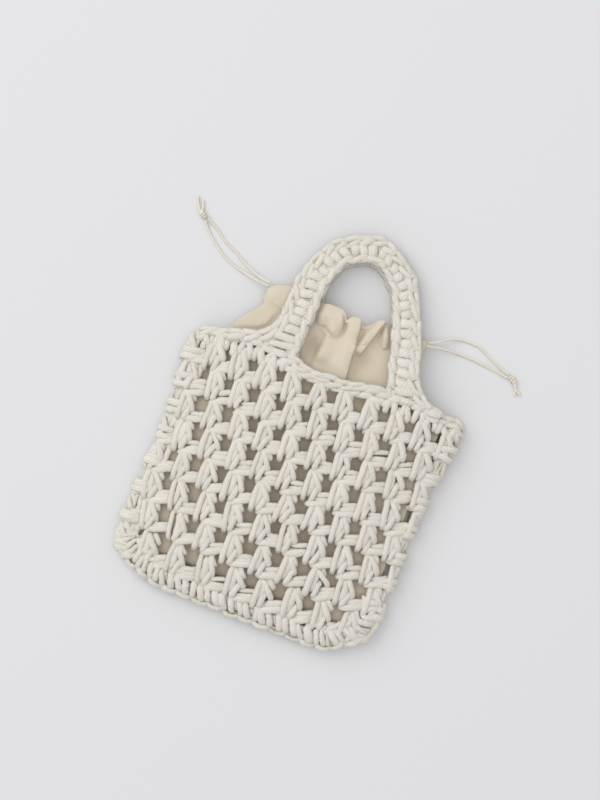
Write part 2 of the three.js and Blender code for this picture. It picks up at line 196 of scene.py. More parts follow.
@dataclass
class Pocket:
    """The form that the net, the base and the rim are worked to."""

    levels: Table = (  # level, left and right edge, lift, thickness in the middle and near the folds
        (-189.5, -80, 76, 4.5, 10, 8),
        (-187.0, -93, 88, 1.5, 15.5, 13),
        (-182.0, -106, 97, 0.2, 19, 16.5),
        (-172.0, -121, 112, 0, 22.5, 19),
        (-160.0, -131, 124, 0, 26, 20),
        (-146.0, -134.5, 127, 0, 29.5, 20.5),
        (-110.0, -133.5, 127.5, 0, 33, 20.5),
        (-54.0, -131, 127.5, 0, 34, 20.5),
        (-17.0, -132, 128.5, 0, 34, 20.5),
        (19.0, -137, 134, 0, 33, 20.5),
        (44.0, -134.5, 137, 0, 31.5, 20.5),
        (60.0, -121, 133, 0, 30, 20.5),
    )
    tightest_fold: float = 0.8  # least radius of a side fold, in the middle of the wall
    around: int = 420  # points round the form
    heights: int = 120  # levels up the form
    across: int = 160  # points across one wall
    fold: int = 40  # points round a side fold
    grid: Array = field(init=False)
    normals: Array = field(init=False)

    def __post_init__(self) -> None:
        """Works out the surface halfway through the knitted wall, and its normals."""
        ys = np.linspace(self.levels[0][0], self.levels[-1][0], self.heights)
        self.grid = np.stack([self.ring(y) for y in ys])
        along = np.roll(self.grid, -1, axis=1) - np.roll(self.grid, 1, axis=1)
        self.normals = unit(np.cross(along, np.gradient(self.grid, axis=0)))

    def ring(self, y: float) -> Array:
        """Gives the wall's middle line at a level, from the front's middle round by the right.

        The front wall is laid to its true width, and the folds and the back take up the rest of the round.

        Args:
            y: the level.

        Returns:
            Points at even steps of a round.
        """
        left, right, under, middle, edge = read(self.levels, y)
        radius = max(edge / 2 - KNIT / 2, self.tightest_fold)
        inset = edge / 2 - radius
        axis = max(under, 0) + edge / 2
        x0, x1 = left + inset + radius, right - inset - radius
        across = np.linspace(-1, 1, self.across)
        front_x = (x0 + x1) / 2 + (x1 - x0) / 2 * across
        front = np.stack([front_x, axis + radius + (middle - edge) * (1 - across**2)], 1)
        turn = np.linspace(np.pi / 2, -np.pi / 2, self.fold)[1:-1]
        fold = np.stack([radius * np.cos(turn), axis + radius * np.sin(turn)], 1)
        back = np.stack([np.linspace(x1, x0, self.across), np.full(self.across, axis - radius)], 1)
        rest = np.vstack([front[-1:], fold + [x1, 0], back, fold[::-1] * [-1, 1] + [x0, 0], front[:1]])
        length = distances(rest)
        rest_u = x1 + (GIRTH - (x1 - x0)) * length / length[-1]
        at = (np.linspace(0, GIRTH, self.around, endpoint=False) - x0) % GIRTH + x0
        u, loop = np.concatenate([front_x, rest_u[1:]]), np.vstack([front, rest[1:]])
        x, z = sample(loop, u, at).T
        return np.stack([x, np.full_like(x, y), z], axis=1)

    def lay(self, points: Array) -> Array:
        """Lays flat knitting on the pocket.

        Args:
            points: distance round the bag, level, and height over the wall's middle.

        Returns:
            Points in the bag's frame.
        """
        u = points[..., 0] / GIRTH * self.around
        low, high = self.levels[0][0], self.levels[-1][0]
        v = np.clip((points[..., 1] - low) / (high - low), 0, 1) * (self.heights - 1)
        i, j = np.floor(u).astype(int), np.clip(np.floor(v).astype(int), 0, self.heights - 2)
        s, t = (u - i)[..., None], (v - j)[..., None]
        i, k = i % self.around, (i + 1) % self.around

        def blend(values: Array) -> Array:
            """Blends the four grid values round each point."""
            near = values[j, i] * (1 - s) + values[j, k] * s
            return near * (1 - t) + (values[j + 1, i] * (1 - s) + values[j + 1, k] * s) * t

        laid = blend(self.grid) + blend(self.normals) * points[..., 2:]
        laid[..., 1] += points[..., 1] - np.clip(points[..., 1], low, high)
        laid[..., 2] = np.maximum(laid[..., 2], FLOOR_GAP)
        return laid


@dataclass(frozen=True)
class Strand:
    """A stretch of cord in a stitch: its route, its half width and its half depth."""

    route: tuple[Point, ...]
    wide: float = CORD
    deep: float = 2.5


class Tube:
    """A straight tube of unit radius, with rings one unit apart, that every strand is bent from."""

    def __init__(self, sides: int, rings: int) -> None:
        """Builds the tube by extruding a circle, and keeps its corners, faces and wrapping.

        Args:
            sides: sides of the section.
            rings: sections along the tube.
        """
        mesh = bmesh.new()
        bmesh.ops.create_circle(mesh, cap_ends=True, segments=sides, radius=1.0)
        edges = list(mesh.edges)
        for _ in range(rings - 1):
            made = bmesh.ops.extrude_edge_only(mesh, edges=edges)["geom"]
            corners = [g for g in made if isinstance(g, bmesh.types.BMVert)]
            bmesh.ops.translate(mesh, vec=(0, 0, 1), verts=corners)
            edges = [g for g in made if isinstance(g, bmesh.types.BMEdge)]
            level = edges[0].verts[0].co.z
            edges = [e for e in edges if all(abs(v.co.z - level) < 0.5 for v in e.verts)]
        bmesh.ops.contextual_create(mesh, geom=edges)
        bmesh.ops.recalc_face_normals(mesh, faces=mesh.faces)
        mesh.verts.index_update()
        self.rings = rings
        self.corners = np.array([v.co[:] for v in mesh.verts])
        self.ring = np.rint(self.corners[:, 2]).astype(int)
        self.faces = [[v.index for v in f.verts] for f in mesh.faces]
        self.wrap = np.array([pair for f in mesh.faces for pair in self.wrapping(f)])
        mesh.free()

    @staticmethod
    def wrapping(face: bmesh.types.BMFace) -> list[tuple[float, float]]:
        """Unwraps a face.

        Args:
            face: the face.

        Returns:
            For each corner the share of the way round, and the number of its ring.
        """
        turns = [math.atan2(v.co.y, v.co.x) / math.tau % 1 for v in face.verts]
        if max(turns) - min(turns) > 0.5:
            turns = [t + 1 if t < 0.5 else t for t in turns]
        return [(t, v.co.z) for t, v in zip(turns, face.verts)]


@dataclass
class Knitting:
    """Many strands of cord, joined into one mesh, each a little different from the others."""

    seed: int
    sides: int = 8
    rings: int = 10
    plump: float = 0.07  # how far a strand's thickness strays, as a share of it
    lumpy: float = 0.05  # how far it strays along the strand
    wander: float = 0.3  # how far the strand's middle strays along it, as a share of its looseness
    flat: float = 0.5  # how far strands stray up and down, as a share of how far they stray along the wall
    ends: tuple[float, float] = (0.6, 0.92)  # how thick the last and the next to last sections are
    shift: float = 50.0  # how much further along the cord the palest strand's pattern starts
    tube: Tube = field(init=False)
    chance: np.random.Generator = field(init=False)
    corners: list[Array] = field(default_factory=list)
    lengths: list[Array] = field(default_factory=list)
    tones: list[Array] = field(default_factory=list)

    def __post_init__(self) -> None:
        """Makes the tube to bend, and the source of chance."""
        self.tube = Tube(self.sides, self.rings)
        self.chance = np.random.default_rng(self.seed)

    def sweep(self, strand: Strand) -> tuple[Array, Array, Array, float]:
        """Bends the tube along a strand's route.

        Args:
            strand: the strand.

        Returns:
            For each corner its place on the route, its way out from there, and how it goes when the strand
            bows. Then the strand's length.
        """
        ring = self.tube.ring
        path = smooth_route(strand.route, self.rings)
        tangent = unit(np.gradient(path, axis=0))
        chord = path[-1] - path[0]
        side = np.array([-chord[1], chord[0], 0.0]) / np.hypot(chord[0], chord[1])
        bow = np.sin(np.linspace(0, np.pi, self.rings))[:, None] * side
        up = unit(np.cross(tangent, side))
        side = np.cross(up, tangent)
        taper = np.ones(self.rings)
        taper[[0, -1]], taper[[1, -2]] = self.ends
        across = self.tube.corners[:, :1] * strand.wide * side[ring]
        out = across + self.tube.corners[:, 1:2] * strand.deep * up[ring]
        return path[ring], out * taper[ring, None], bow[ring], distances(path)[-1]

    def add(self, strand: Strand, places: Array, lay: Lay, loose: float = 0.5, turn: float = 4.0) -> None:
        """Adds a strand at many places, each time a little different.

        Args:
            strand: the strand.
            places: where its own zero goes, before it is laid.
            lay: what lays flat knitting on the bag.
            loose: how far a strand strays and bows, in millimetres.
            turn: how far it turns, in degrees.
        """
        spine, out, bow, length = self.sweep(strand)
        count = len(places)
        ring = self.tube.ring
        plump = self.chance.normal(1, self.plump, (count, 1, 1))
        bent = self.chance.normal(0, loose, (count, 1, 1))
        middle = spine.mean(axis=0)
        lumps = self.chance.normal(1, self.lumpy, (count, self.rings, 1))[:, ring]
        wander = self.chance.normal(0, self.wander * loose, (count, self.rings, 3))[:, ring]
        tube = spine - middle + out * plump * lumps + bow * bent + wander
        angle = np.radians(self.chance.normal(0, turn, count))[:, None]
        x, y, z = np.moveaxis(tube, 2, 0)
        turned = [x * np.cos(angle) - y * np.sin(angle), x * np.sin(angle) + y * np.cos(angle), z]
        stray = self.chance.normal(0, loose, (count, 1, 3)) * [1, 1, self.flat]
        self.corners.append(lay(np.stack(turned, axis=2) + middle + stray + places[:, None, :]))
        self.lengths.append(np.full(count, length))
        self.tones.append(self.chance.uniform(0, 1, count))

    def mesh(self, name: str) -> bpy.types.Mesh:
        """Joins the strands.

        Args:
            name: the mesh's name.

        Returns:
            The mesh, with a UV map that follows the cords and a tone for each strand.
        """
        corners = np.concatenate(self.corners) * MM
        lengths, tones = np.concatenate(self.lengths), np.concatenate(self.tones)
        count, size = corners.shape[:2]
        faces = [[c + k * size for c in face] for k in range(count) for face in self.tube.faces]
        wrap = np.repeat(self.tube.wrap[None], count, axis=0)
        wrap[:, :, 1] *= lengths[:, None] / (self.rings - 1)
        wrap[:, :, 1] += self.shift * tones[:, None]
        mesh = cord_mesh(name, corners.reshape(-1, 3), faces, wrap)
        tone = mesh.attributes.new("tone", "FLOAT", "POINT")
        tone.data.foreach_set("value", np.repeat(tones, size))
        return mesh


def cord_mesh(name: str, corners: Array, faces: list[list[int]], wrap: Array) -> bpy.types.Mesh:
    """Makes a smooth mesh of cord.

    Args:
        name: the mesh's name.
        corners: its corners, in metres.
        faces: the corners of each face.
        wrap: for each corner of each face the share of the way round, and the distance along the cord.

    Returns:
        The mesh, with a UV map that follows the cord.
    """
    mesh = bpy.data.meshes.new(name)
    mesh.from_pydata(corners.tolist(), [], faces)
    mesh.polygons.foreach_set("use_smooth", [True] * len(mesh.polygons))
    mesh.uv_layers.new(name="cord").data.foreach_set("uv", wrap.ravel())
    return mesh


def add_piece(name: str, mesh: bpy.types.Mesh, finish: "Finish", *nodes: str) -> bpy.types.Object:
    """Makes a piece of the bag that stands for solids of the frame.

    Args:
        name: the piece's name.
        mesh: its mesh.
        finish: its finish.
        nodes: the solids that it stands for.

    Returns:
        The piece.
    """
    piece = bpy.data.objects.new(name, mesh)
    bpy.context.scene.collection.objects.link(piece)
    mesh.materials.append(finish.material())
    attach(piece, "root")
    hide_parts(*nodes)
    LOG.info("%s: %d faces", name, len(mesh.polygons))
    return piece


@dataclass(frozen=True)
class Finish:
    """What every finish has: its material's name, the record's slot, two colours and a matt surface."""

    name: str
    slot: str
    light: str
    dark: str
    roughness: float = 0.95
    ior: float = 1.45
    gloss: float = 0.2

    def material(self) -> bpy.types.Material:
        """Gives the finish's material, made on first use.

        Returns:
            The material.
        """
        if self.name in bpy.data.materials:
            return bpy.data.materials[self.name]
        material = bpy.data.materials.new(self.name)
        material.use_nodes = True
        tree = material.node_tree
        tree.nodes.clear()
        colour, relief = self.dress(tree)
        looks = {"Base Color": colour, "Normal": relief}
        looks |= {"Roughness": self.roughness, "IOR": self.ior, "Specular IOR Level": self.gloss}
        surface = add_node(tree, "BsdfPrincipled", looks)
        add_node(tree, "OutputMaterial", {"Surface": surface.outputs["BSDF"]})
        return material

    @staticmethod
    def mix(tree: Tree, share: Socket, low: object, high: object) -> Socket:
        """Mixes two colours, each a value or a socket, and gives the result's socket."""
        inputs = {"Factor": share, "A": low, "B": high}
        return add_node(tree, "Mix", inputs, data_type="RGBA").outputs["Result"]

    @staticmethod
    def ramp(tree: Tree, value: Socket, ends: tuple[float, float], top: float, **settings: str) -> Socket:
        """Spreads a value between two ends from 0 to a top, and gives the result's socket."""
        inputs = {"Value": value, "From Min": ends[0], "From Max": ends[1], "To Min": 0.0, "To Max": top}
        return add_node(tree, "MapRange", inputs, **settings).outputs["Result"]

    @staticmethod
    def bump(tree: Tree, height: Socket, strength: float, depth: float) -> Socket:
        """Turns a height to relief of a depth in millimetres, and gives the relief's socket."""
        inputs = {"Height": height, "Strength": strength, "Distance": depth * MM}
        return add_node(tree, "Bump", inputs).outputs["Normal"]

    def dress(self, tree: Tree) -> tuple[Socket, Socket]:
        """Builds the finish's own nodes and gives the sockets of its colour and its relief."""
        raise NotImplementedError


@dataclass(frozen=True)
class CottonCord(Finish):
    """Soft cotton cord: matt and off-white, with plies that wind slowly round it and fuzz along it.

    Painted shade darkens its flanks and underside, where strands lie against each other.
    """

    # painted shade: the colour of the cord's flanks and underside, where strands lie against each other and
    # shade it
    flank: str = "C7C2B6"
    girth: float = 18.0  # distance round the cord
    plies: float = 7.0
    lay: float = 22.0  # length in which a ply goes once round
    fuzz: float = 0.9  # width of a tuft of fibres, drawn coarse so that it shows
    combed: float = 2.6  # how many times longer than wide a tuft is
    depth: float = 0.6  # of the plies and the fuzz
    strength: float = 0.9  # of that relief
    grooves: tuple[float, float] = (0.35, 1.0)  # relief over which the tone goes from dark to light: painted shade down in the grooves between the plies, with the fuzz's random tone
    light_share: float = 0.75  # of the light colour on the tops of the plies
    tone_share: float = 0.25  # how much more of it the palest strand has
    shade_to_lit: tuple[float, float] = (-0.1, 0.55)  # height on the cord, from -1 to 1, over which the painted shade of the flanks gives way to the lit colour

    def dress(self, tree: Tree) -> tuple[Socket, Socket]:
        """Builds the plies, the fuzz, the painted shade of the flanks and the change of tone from strand to
        strand.

        Args:
            tree: the node tree.

        Returns:
            The sockets of the colour and the relief.
        """
        uv = add_node(tree, "UVMap", {}, uv_map="cord").outputs["UV"]
        parts = add_node(tree, "SeparateXYZ", {"Vector": uv}).outputs
        lobes = calculate(tree, "MULTIPLY", parts["X"], self.plies)
        winding = calculate(tree, "MULTIPLY_ADD", parts["Y"], self.plies / self.lay, lobes)
        wave = calculate(tree, "PINGPONG", winding, 0.5)  # rises and falls once to a ply
        scale = (self.girth / self.fuzz, 1 / (self.fuzz * self.combed), 1.0)
        stretch = add_node(tree, "Mapping", {"Vector": uv, "Scale": scale}).outputs["Vector"]
        tufts = {"Vector": stretch, "Scale": 1.0, "Detail": 3.0, "Roughness": 0.65}
        height = calculate(tree, "ADD", wave, add_node(tree, "TexNoise", tufts).outputs["Fac"])
        tone = add_node(tree, "Attribute", {}, attribute_name="tone").outputs["Fac"]
        # painted shade: the cord is darker down in the grooves between its plies and lighter on their tops
        groove = self.ramp(tree, height, self.grooves, self.light_share)
        shade = calculate(tree, "MULTIPLY_ADD", tone, self.tone_share, groove)
        colour = self.mix(tree, shade, linear(self.dark), linear(self.light))
        # painted shade: the flank colour darkens the cord away from its crown, down its sides and underside
        crown = calculate(tree, "SINE", calculate(tree, "MULTIPLY", parts["X"], math.tau))
        shade_to_lit = self.ramp(tree, crown, self.shade_to_lit, 1.0, interpolation_type="SMOOTHSTEP")
        colour = self.mix(tree, shade_to_lit, linear(self.flank), colour)
        return colour, self.bump(tree, height, self.strength, self.depth)


@dataclass(frozen=True)
class CottonCloth(Finish):
    """Unbleached cotton in a plain weave: matt cream, with slubs where the yarn is uneven."""

    thread: float = 0.9  # thread spacing, drawn about twice as coarse as real so that it shows
    slub: float = 9.0  # length of an uneven stretch of yarn
    slub_height: float = 1.5  # as a share of the threads' height
    depth: float = 0.25  # of the threads
    strength: float = 0.25  # of that relief

    def dress(self, tree: Tree) -> tuple[Socket, Socket]:
        """Builds the weave, the slubs and the uneven tone.

        Args:
            tree: the node tree.

        Returns:
            The sockets of the colour and the relief.
        """
        place = add_node(tree, "TexCoord", {}).outputs["Object"]
        scale = math.tau / (20 * self.thread * MM)  # a wave texture of this scale repeats once to a thread
        yarn = {"Vector": place, "Scale": scale, "Distortion": 1.2, "Detail": 1.0}
        warp, weft = (add_node(tree, "TexWave", yarn, bands_direction=way).outputs["Fac"] for way in "XY")
        uneven = {"Vector": place, "Scale": 1 / (self.slub * MM), "Detail": 4.0, "Roughness": 0.65}
        slubs = add_node(tree, "TexNoise", uneven).outputs["Fac"]
        weave = calculate(tree, "MULTIPLY", warp, weft)
        height = calculate(tree, "MULTIPLY_ADD", slubs, self.slub_height, weave)
        colour = self.mix(tree, slubs, linear(self.dark), linear(self.light))
        return colour, self.bump(tree, height, self.strength, self.depth)


# The net's thick cord: cotton, plied softly from seven yarns, off-white.
CORD_FINISH = CottonCord("plied_cotton_cord", "cotton_cord", "ECE8DD", "D5D0C4")

# The pouch's cloth: cotton in a plain weave, unbleached, so it is creamier than the cord.
CLOTH_FINISH = CottonCloth("plain_weave_cotton", "cotton_cloth", "E1D6C3", "D3C7B2")

# The drawstring: cotton, twisted from three plies, a little creamier than the cord.
# Its flank colour is painted shade down the string's sides and underside.
STRING_FINISH = CottonCord(
    "twisted_cotton_string", "cotton_string", "FAF4E4", "EBE2CE", flank="E6DCC8", girth=7, plies=3, lay=6
)


class Wall(Enum):
    """The two walls of the bag, with the seed of each one's irregularities."""

    FRONT = 11
    BACK = 23


@dataclass(frozen=True)
class Round:
    """A round of open net: the level of its gaps, where one lies, the pitch, and how low its chain hangs."""

    y: float
    gap: float
    pitch: float
    drop: float


@dataclass
class NetBody:
    """The open net: posts and chains worked in the round, each round set on from the one above it."""

    pocket: Pocket
    rounds: tuple[Round, ...] = (
        Round(38.2, -18.3, 25.4, 2.0),
        Round(12.8, -8.2, 25.6, 4.5),
        Round(-13.4, 0.7, 25.5, 2.2),
        Round(-40.4, 8.6, 25.6, 3.4),
        Round(-67.4, -7.1, 26.2, 0.6),
        Round(-93.8, 3.9, 26.8, 2.4),
        Round(-121.0, -12.3, 27.4, 1.2),
        Round(-149.7, 0.5, 28.4, 2.6),
    )
    reach: float = 130.0  # how far out the front's stitches go
    seat: tuple[float, float] = (1.1, -2.1)  # a stitch's own zero from its gap's middle
    stray: float = 0.5  # how far a stitch lies from its place
    long_leg: Strand = Strand(
        (
            (-18.2, 12.4, -2.4), (-19.2, 7, -0.4), (-19.3, 0.5, 1.4), (-18.9, -7, 2.2), (-18.4, -13.5, 2.3),
            (-18, -18, 1), (-17.9, -19.2, -1.3), (-17.9, -17.4, -3.2),
        ),
        wide=2.9,
    )
    short_leg: Strand = Strand(
        (
            (-9.4, -1, -1.8), (-9.9, -5, 0), (-10.8, -10, 1.5), (-11.5, -14.2, 1.9), (-11.9, -16.6, 0.8),
            (-12, -17.6, -1.3), (-12, -16, -3.2),
        ),
        wide=2.8,
    )
    slant: Strand = Strand(
        (
            (-17, 10.6, -2.2), (-15, 7.3, 0.2), (-12, 3.2, 1.7), (-8.8, -1, 1.9), (-6.6, -4.6, 0.8),
            (-5.8, -7.2, -1.4), (-6, -9, -3.2),
        )
    )
    tail: Strand = Strand(
        ((-14.6, 13, -2), (-13, 10.2, -0.6), (-10.8, 7, -0.2), (-8.6, 4, -0.8), (-7.6, 2.2, -2.8))
    )
    chain_front: Strand = Strand(
        (
            (-12.8, -18.2, -2.2), (-9.6, -16.6, 0), (-5.5, -14.8, 1.3), (-1, -13, 1.4), (3.4, -11.2, 0.4),
            (7.2, -9.8, -1.6), (9.5, -9.2, -3),
        ),
        wide=3.5,
    )
    chain_middle: Strand = Strand(
        ((-9.8, -15, -2.4), (-5.5, -13.2, -0.4), (-1, -11.4, 0.3), (3.6, -9.8, -0.4), (8.4, -8.4, -2.4)),
        wide=3.1,
    )
    chain_back: Strand = Strand(
        ((-9, -10.8, -2.6), (-5, -9.6, -1), (-0.5, -8.1, -0.4), (4, -6.8, -1), (8.5, -5.8, -2.4)), wide=2.7
    )
    core: Strand = Strand(
        ((-15.4, 9, -2.6), (-14.8, 4, -0.4), (-14.5, -3, 0.5), (-15, -10, 0.4), (-15.4, -15.5, -1.8)),
        wide=3.6,
    )
    fold_strand: Strand = Strand(
        ((0.9, 12.5, -3), (0.3, 7, -2), (0, 0, -1.6), (0.2, -7, -2), (0.8, -12.5, -3)), wide=3.2
    )
    folds: tuple[float, ...] = (  # distances round the bag of the strands that close the side folds
        121, 127.5, 134, 140.5, 147, 371, 377.5, 384, 390, 396, 402, 407.5,
    )
    fold_pitch: float = 17.0
    fold_margin: float = 6.0  # how far those strands go past the first and the last gaps
    fold_loop: Strand = Strand(
        (
            (-17, -2.2, -2.2), (-11.5, -1.4, 0.6), (-6, -0.6, 2.6), (0, 0.1, 3.2), (6, 0.8, 2.6),
            (11.5, 1.6, 0.6), (17, 2.4, -2.2),
        ),
        wide=3.5,
    )
    fold_middles: tuple[float, ...] = (126.6, 391.9)  # distances round the bag of the two folds
    loop_drops: tuple[float, ...] = (10.0, 16.4)  # how far under a gap the chain's loops go round the fold

    def cells(self, wall: Wall, line: Round) -> tuple[Array, float]:
        """Gives the stitches of a round on one wall.

        The front's stitches keep the round's own pitch, and the back's share out the rest of the girth.

        Args:
            wall: the wall.
            line: the round.

        Returns:
            The stitches' places, as distance round the bag, level and height, and how far a stitch is
            stretched along the round.
        """
        pitch = line.pitch
        first = line.gap - pitch * math.floor((line.gap + self.reach) / pitch)
        u = np.arange(first, self.reach, pitch)
        if wall is Wall.BACK:
            rest = first + GIRTH - u[-1]
            count = round(rest / pitch)
            pitch = rest / count
            u = u[-1] + pitch * np.arange(1, count)
        return spots(u + self.seat[0], line.y + self.seat[1]), pitch / STITCH

    def build(self, wall: Wall) -> bpy.types.Object:
        """Knits one wall.

        Args:
            wall: the wall.

        Returns:
            The piece.
        """
        knitting = Knitting(wall.value)
        strands = (  # each with the share of the round's drop that it takes part in
            (self.core, 0), (self.long_leg, 0), (self.short_leg, 0), (self.slant, 0), (self.tail, 0),
            (self.chain_back, 0), (self.chain_middle, 0.5), (self.chain_front, 1),
        )
        for line in self.rounds:
            places, stretch = self.cells(wall, line)
            places[:, :2] += knitting.chance.normal(0, self.stray, (len(places), 2))
            for strand, share in strands:
                route = tuple((x * stretch, y - share * line.drop, z) for x, y, z in strand.route)
                knitting.add(replace(strand, route=route), places, self.pocket.lay)
        if wall is Wall.FRONT:
            self.add_folds(knitting)
        name = f"net_{wall.name.lower()}"
        return add_piece(name, knitting.mesh(name), CORD_FINISH, "net_body")

    def add_folds(self, knitting: Knitting) -> None:
        """Adds the strands that close the net along its side folds, and the rounds' loops over them.

        Args:
            knitting: the knitting to add to.
        """
        low, high = self.rounds[-1].y - self.fold_margin, self.rounds[0].y + self.fold_margin
        for k, u in enumerate(self.folds):
            y = np.arange(low + self.fold_pitch * (k % 3) / 3, high, self.fold_pitch)
            knitting.add(self.fold_strand, spots(u, y), self.pocket.lay)
        levels = np.array([[line.y - drop for line in self.rounds] for drop in self.loop_drops]).ravel()
        loops = np.concatenate([spots(u, levels) for u in self.fold_middles])
        knitting.add(self.fold_loop, loops, self.pocket.lay, loose=0.8, turn=6.0)


@dataclass
class BaseBand:
    """The tight rounds of the base, worked along the bag's lower outline with their posts square to it."""

    outline: tuple[tuple[float, float], ...] = (
        (-134, -150), (-131, -160), (-121, -172), (-106, -182), (-93, -187), (-78, -189.2), (-40, -189.5),
        (0, -189.5), (40, -189.5), (74, -189.2), (88, -187), (97.5, -182), (112, -172), (124, -160),
        (127, -148), (127.5, -136), (127.5, -124),
    )
    section: tuple[tuple[float, float], ...] = (  # depth and height of the wall's middle, front to back
        (32, 21.2), (17, 18), (10, 15.8), (6, 13.2), (4.5, 9.8), (6, 6.4), (10, 4.8), (17, 4.5), (32, 4.5),
    )
    pitch: float = 14.7
    broad_post: Strand = Strand(
        ((-5.4, 7.2, -1.8), (-4.2, 5, 0.6), (-1.6, 0, 1.8), (1, -5.4, 1), (1.8, -7.6, -1.5)), wide=3.6
    )
    slim_post: Strand = Strand(
        ((2.2, 6.8, -1.8), (3.2, 4.6, 0.6), (5.2, 0, 1.6), (7.4, -5.2, 0.8), (8, -7.4, -1.5)), wide=3.3
    )
    chain: Strand = Strand(
        ((-9.5, -2.6, -3), (-4.8, -1.4, -1), (0.5, 0, -0.4), (5.8, 1.4, -1), (9.8, 2.6, -3)), wide=2.9
    )
    edge_link: Strand = Strand(
        ((-8.6, 0.8, -1), (-4.6, -0.2, 1.4), (0, -0.6, 2.2), (4.6, -0.2, 1.4), (8.6, 0.8, -1)), wide=2.9
    )
    core: Strand = Strand(
        ((-10, 0.4, -2.8), (-5, 0.2, -1.8), (0, 0, -1.6), (5, -0.2, -1.8), (10, -0.4, -2.8)), wide=5.6
    )
    courses: tuple[tuple[Strand, float], ...] = (  # each strand, and how far in from the bag's edge it runs
        (core, 12.2), (core, -11.5), (core, 1.0), (broad_post, 12.2), (slim_post, 12.2), (chain, 21.8),
        (edge_link, 2.8), (edge_link, -2.6), (broad_post, -11.5), (slim_post, -11.5), (chain, -21.8),
    )
    samples: tuple[int, int] = (600, 300)  # along the outline and along the section
    seed: int = 37
    route: Array = field(init=False)
    bend: Array = field(init=False)

    def __post_init__(self) -> None:
        """Samples the outline, and the wall's section from the front round the bag's edge to the back."""
        self.route = smooth_route(self.outline, self.samples[0])
        self.bend = smooth_route(self.section, self.samples[1])

    def lay(self, points: Array) -> Array:
        """Lays flat knitting along the outline.

        Args:
            points: distance along the outline, distance in from the bag's edge, which is less than zero on
                the back, and height over the wall's middle.

        Returns:
            Points in the bag's frame.
        """
        along, inward = distances(self.route), distances(self.bend)
        inward = inward[np.argmin(self.bend[:, 0])] - inward
        place = sample(self.route, along, points[..., 0])
        way = sample(unit(np.gradient(self.route, axis=0)), along, points[..., 0])
        square = np.stack([-way[..., 1], way[..., 0]], axis=-1)
        run = unit(np.gradient(self.bend, axis=0))
        section = np.hstack([self.bend, np.stack([run[:, 1], -run[:, 0]], axis=1)])[::-1]
        laid = sample(section, inward[::-1], points[..., 1])
        depth, height, out_depth, out_height = np.moveaxis(laid, -1, 0)
        flat = place + square * (depth + out_depth * points[..., 2])[..., None]
        lift = np.maximum(height + out_height * points[..., 2], FLOOR_GAP)
        return np.concatenate([flat, lift[..., None]], axis=-1)

    def build(self) -> bpy.types.Object:
        """Knits the base.

        Returns:
            The piece.
        """
        knitting = Knitting(self.seed)
        length = distances(self.route)[-1]
        count = int(length / self.pitch)
        s = (np.arange(count) + 0.5) * length / count
        for strand, depth in self.courses:
            knitting.add(strand, spots(s, depth), self.lay, loose=0.6, turn=6.0)
        return add_piece("base_stitches", knitting.mesh("base_stitches"), CORD_FINISH, "base_band")


class Stretch(Enum):
    """Stretches of the rim: all of it, between the feet, the shoulders beyond that, or clear of the feet."""

    WHOLE = 1
    BETWEEN = 2
    SHOULDERS = 3
    FREE_EDGE = 4


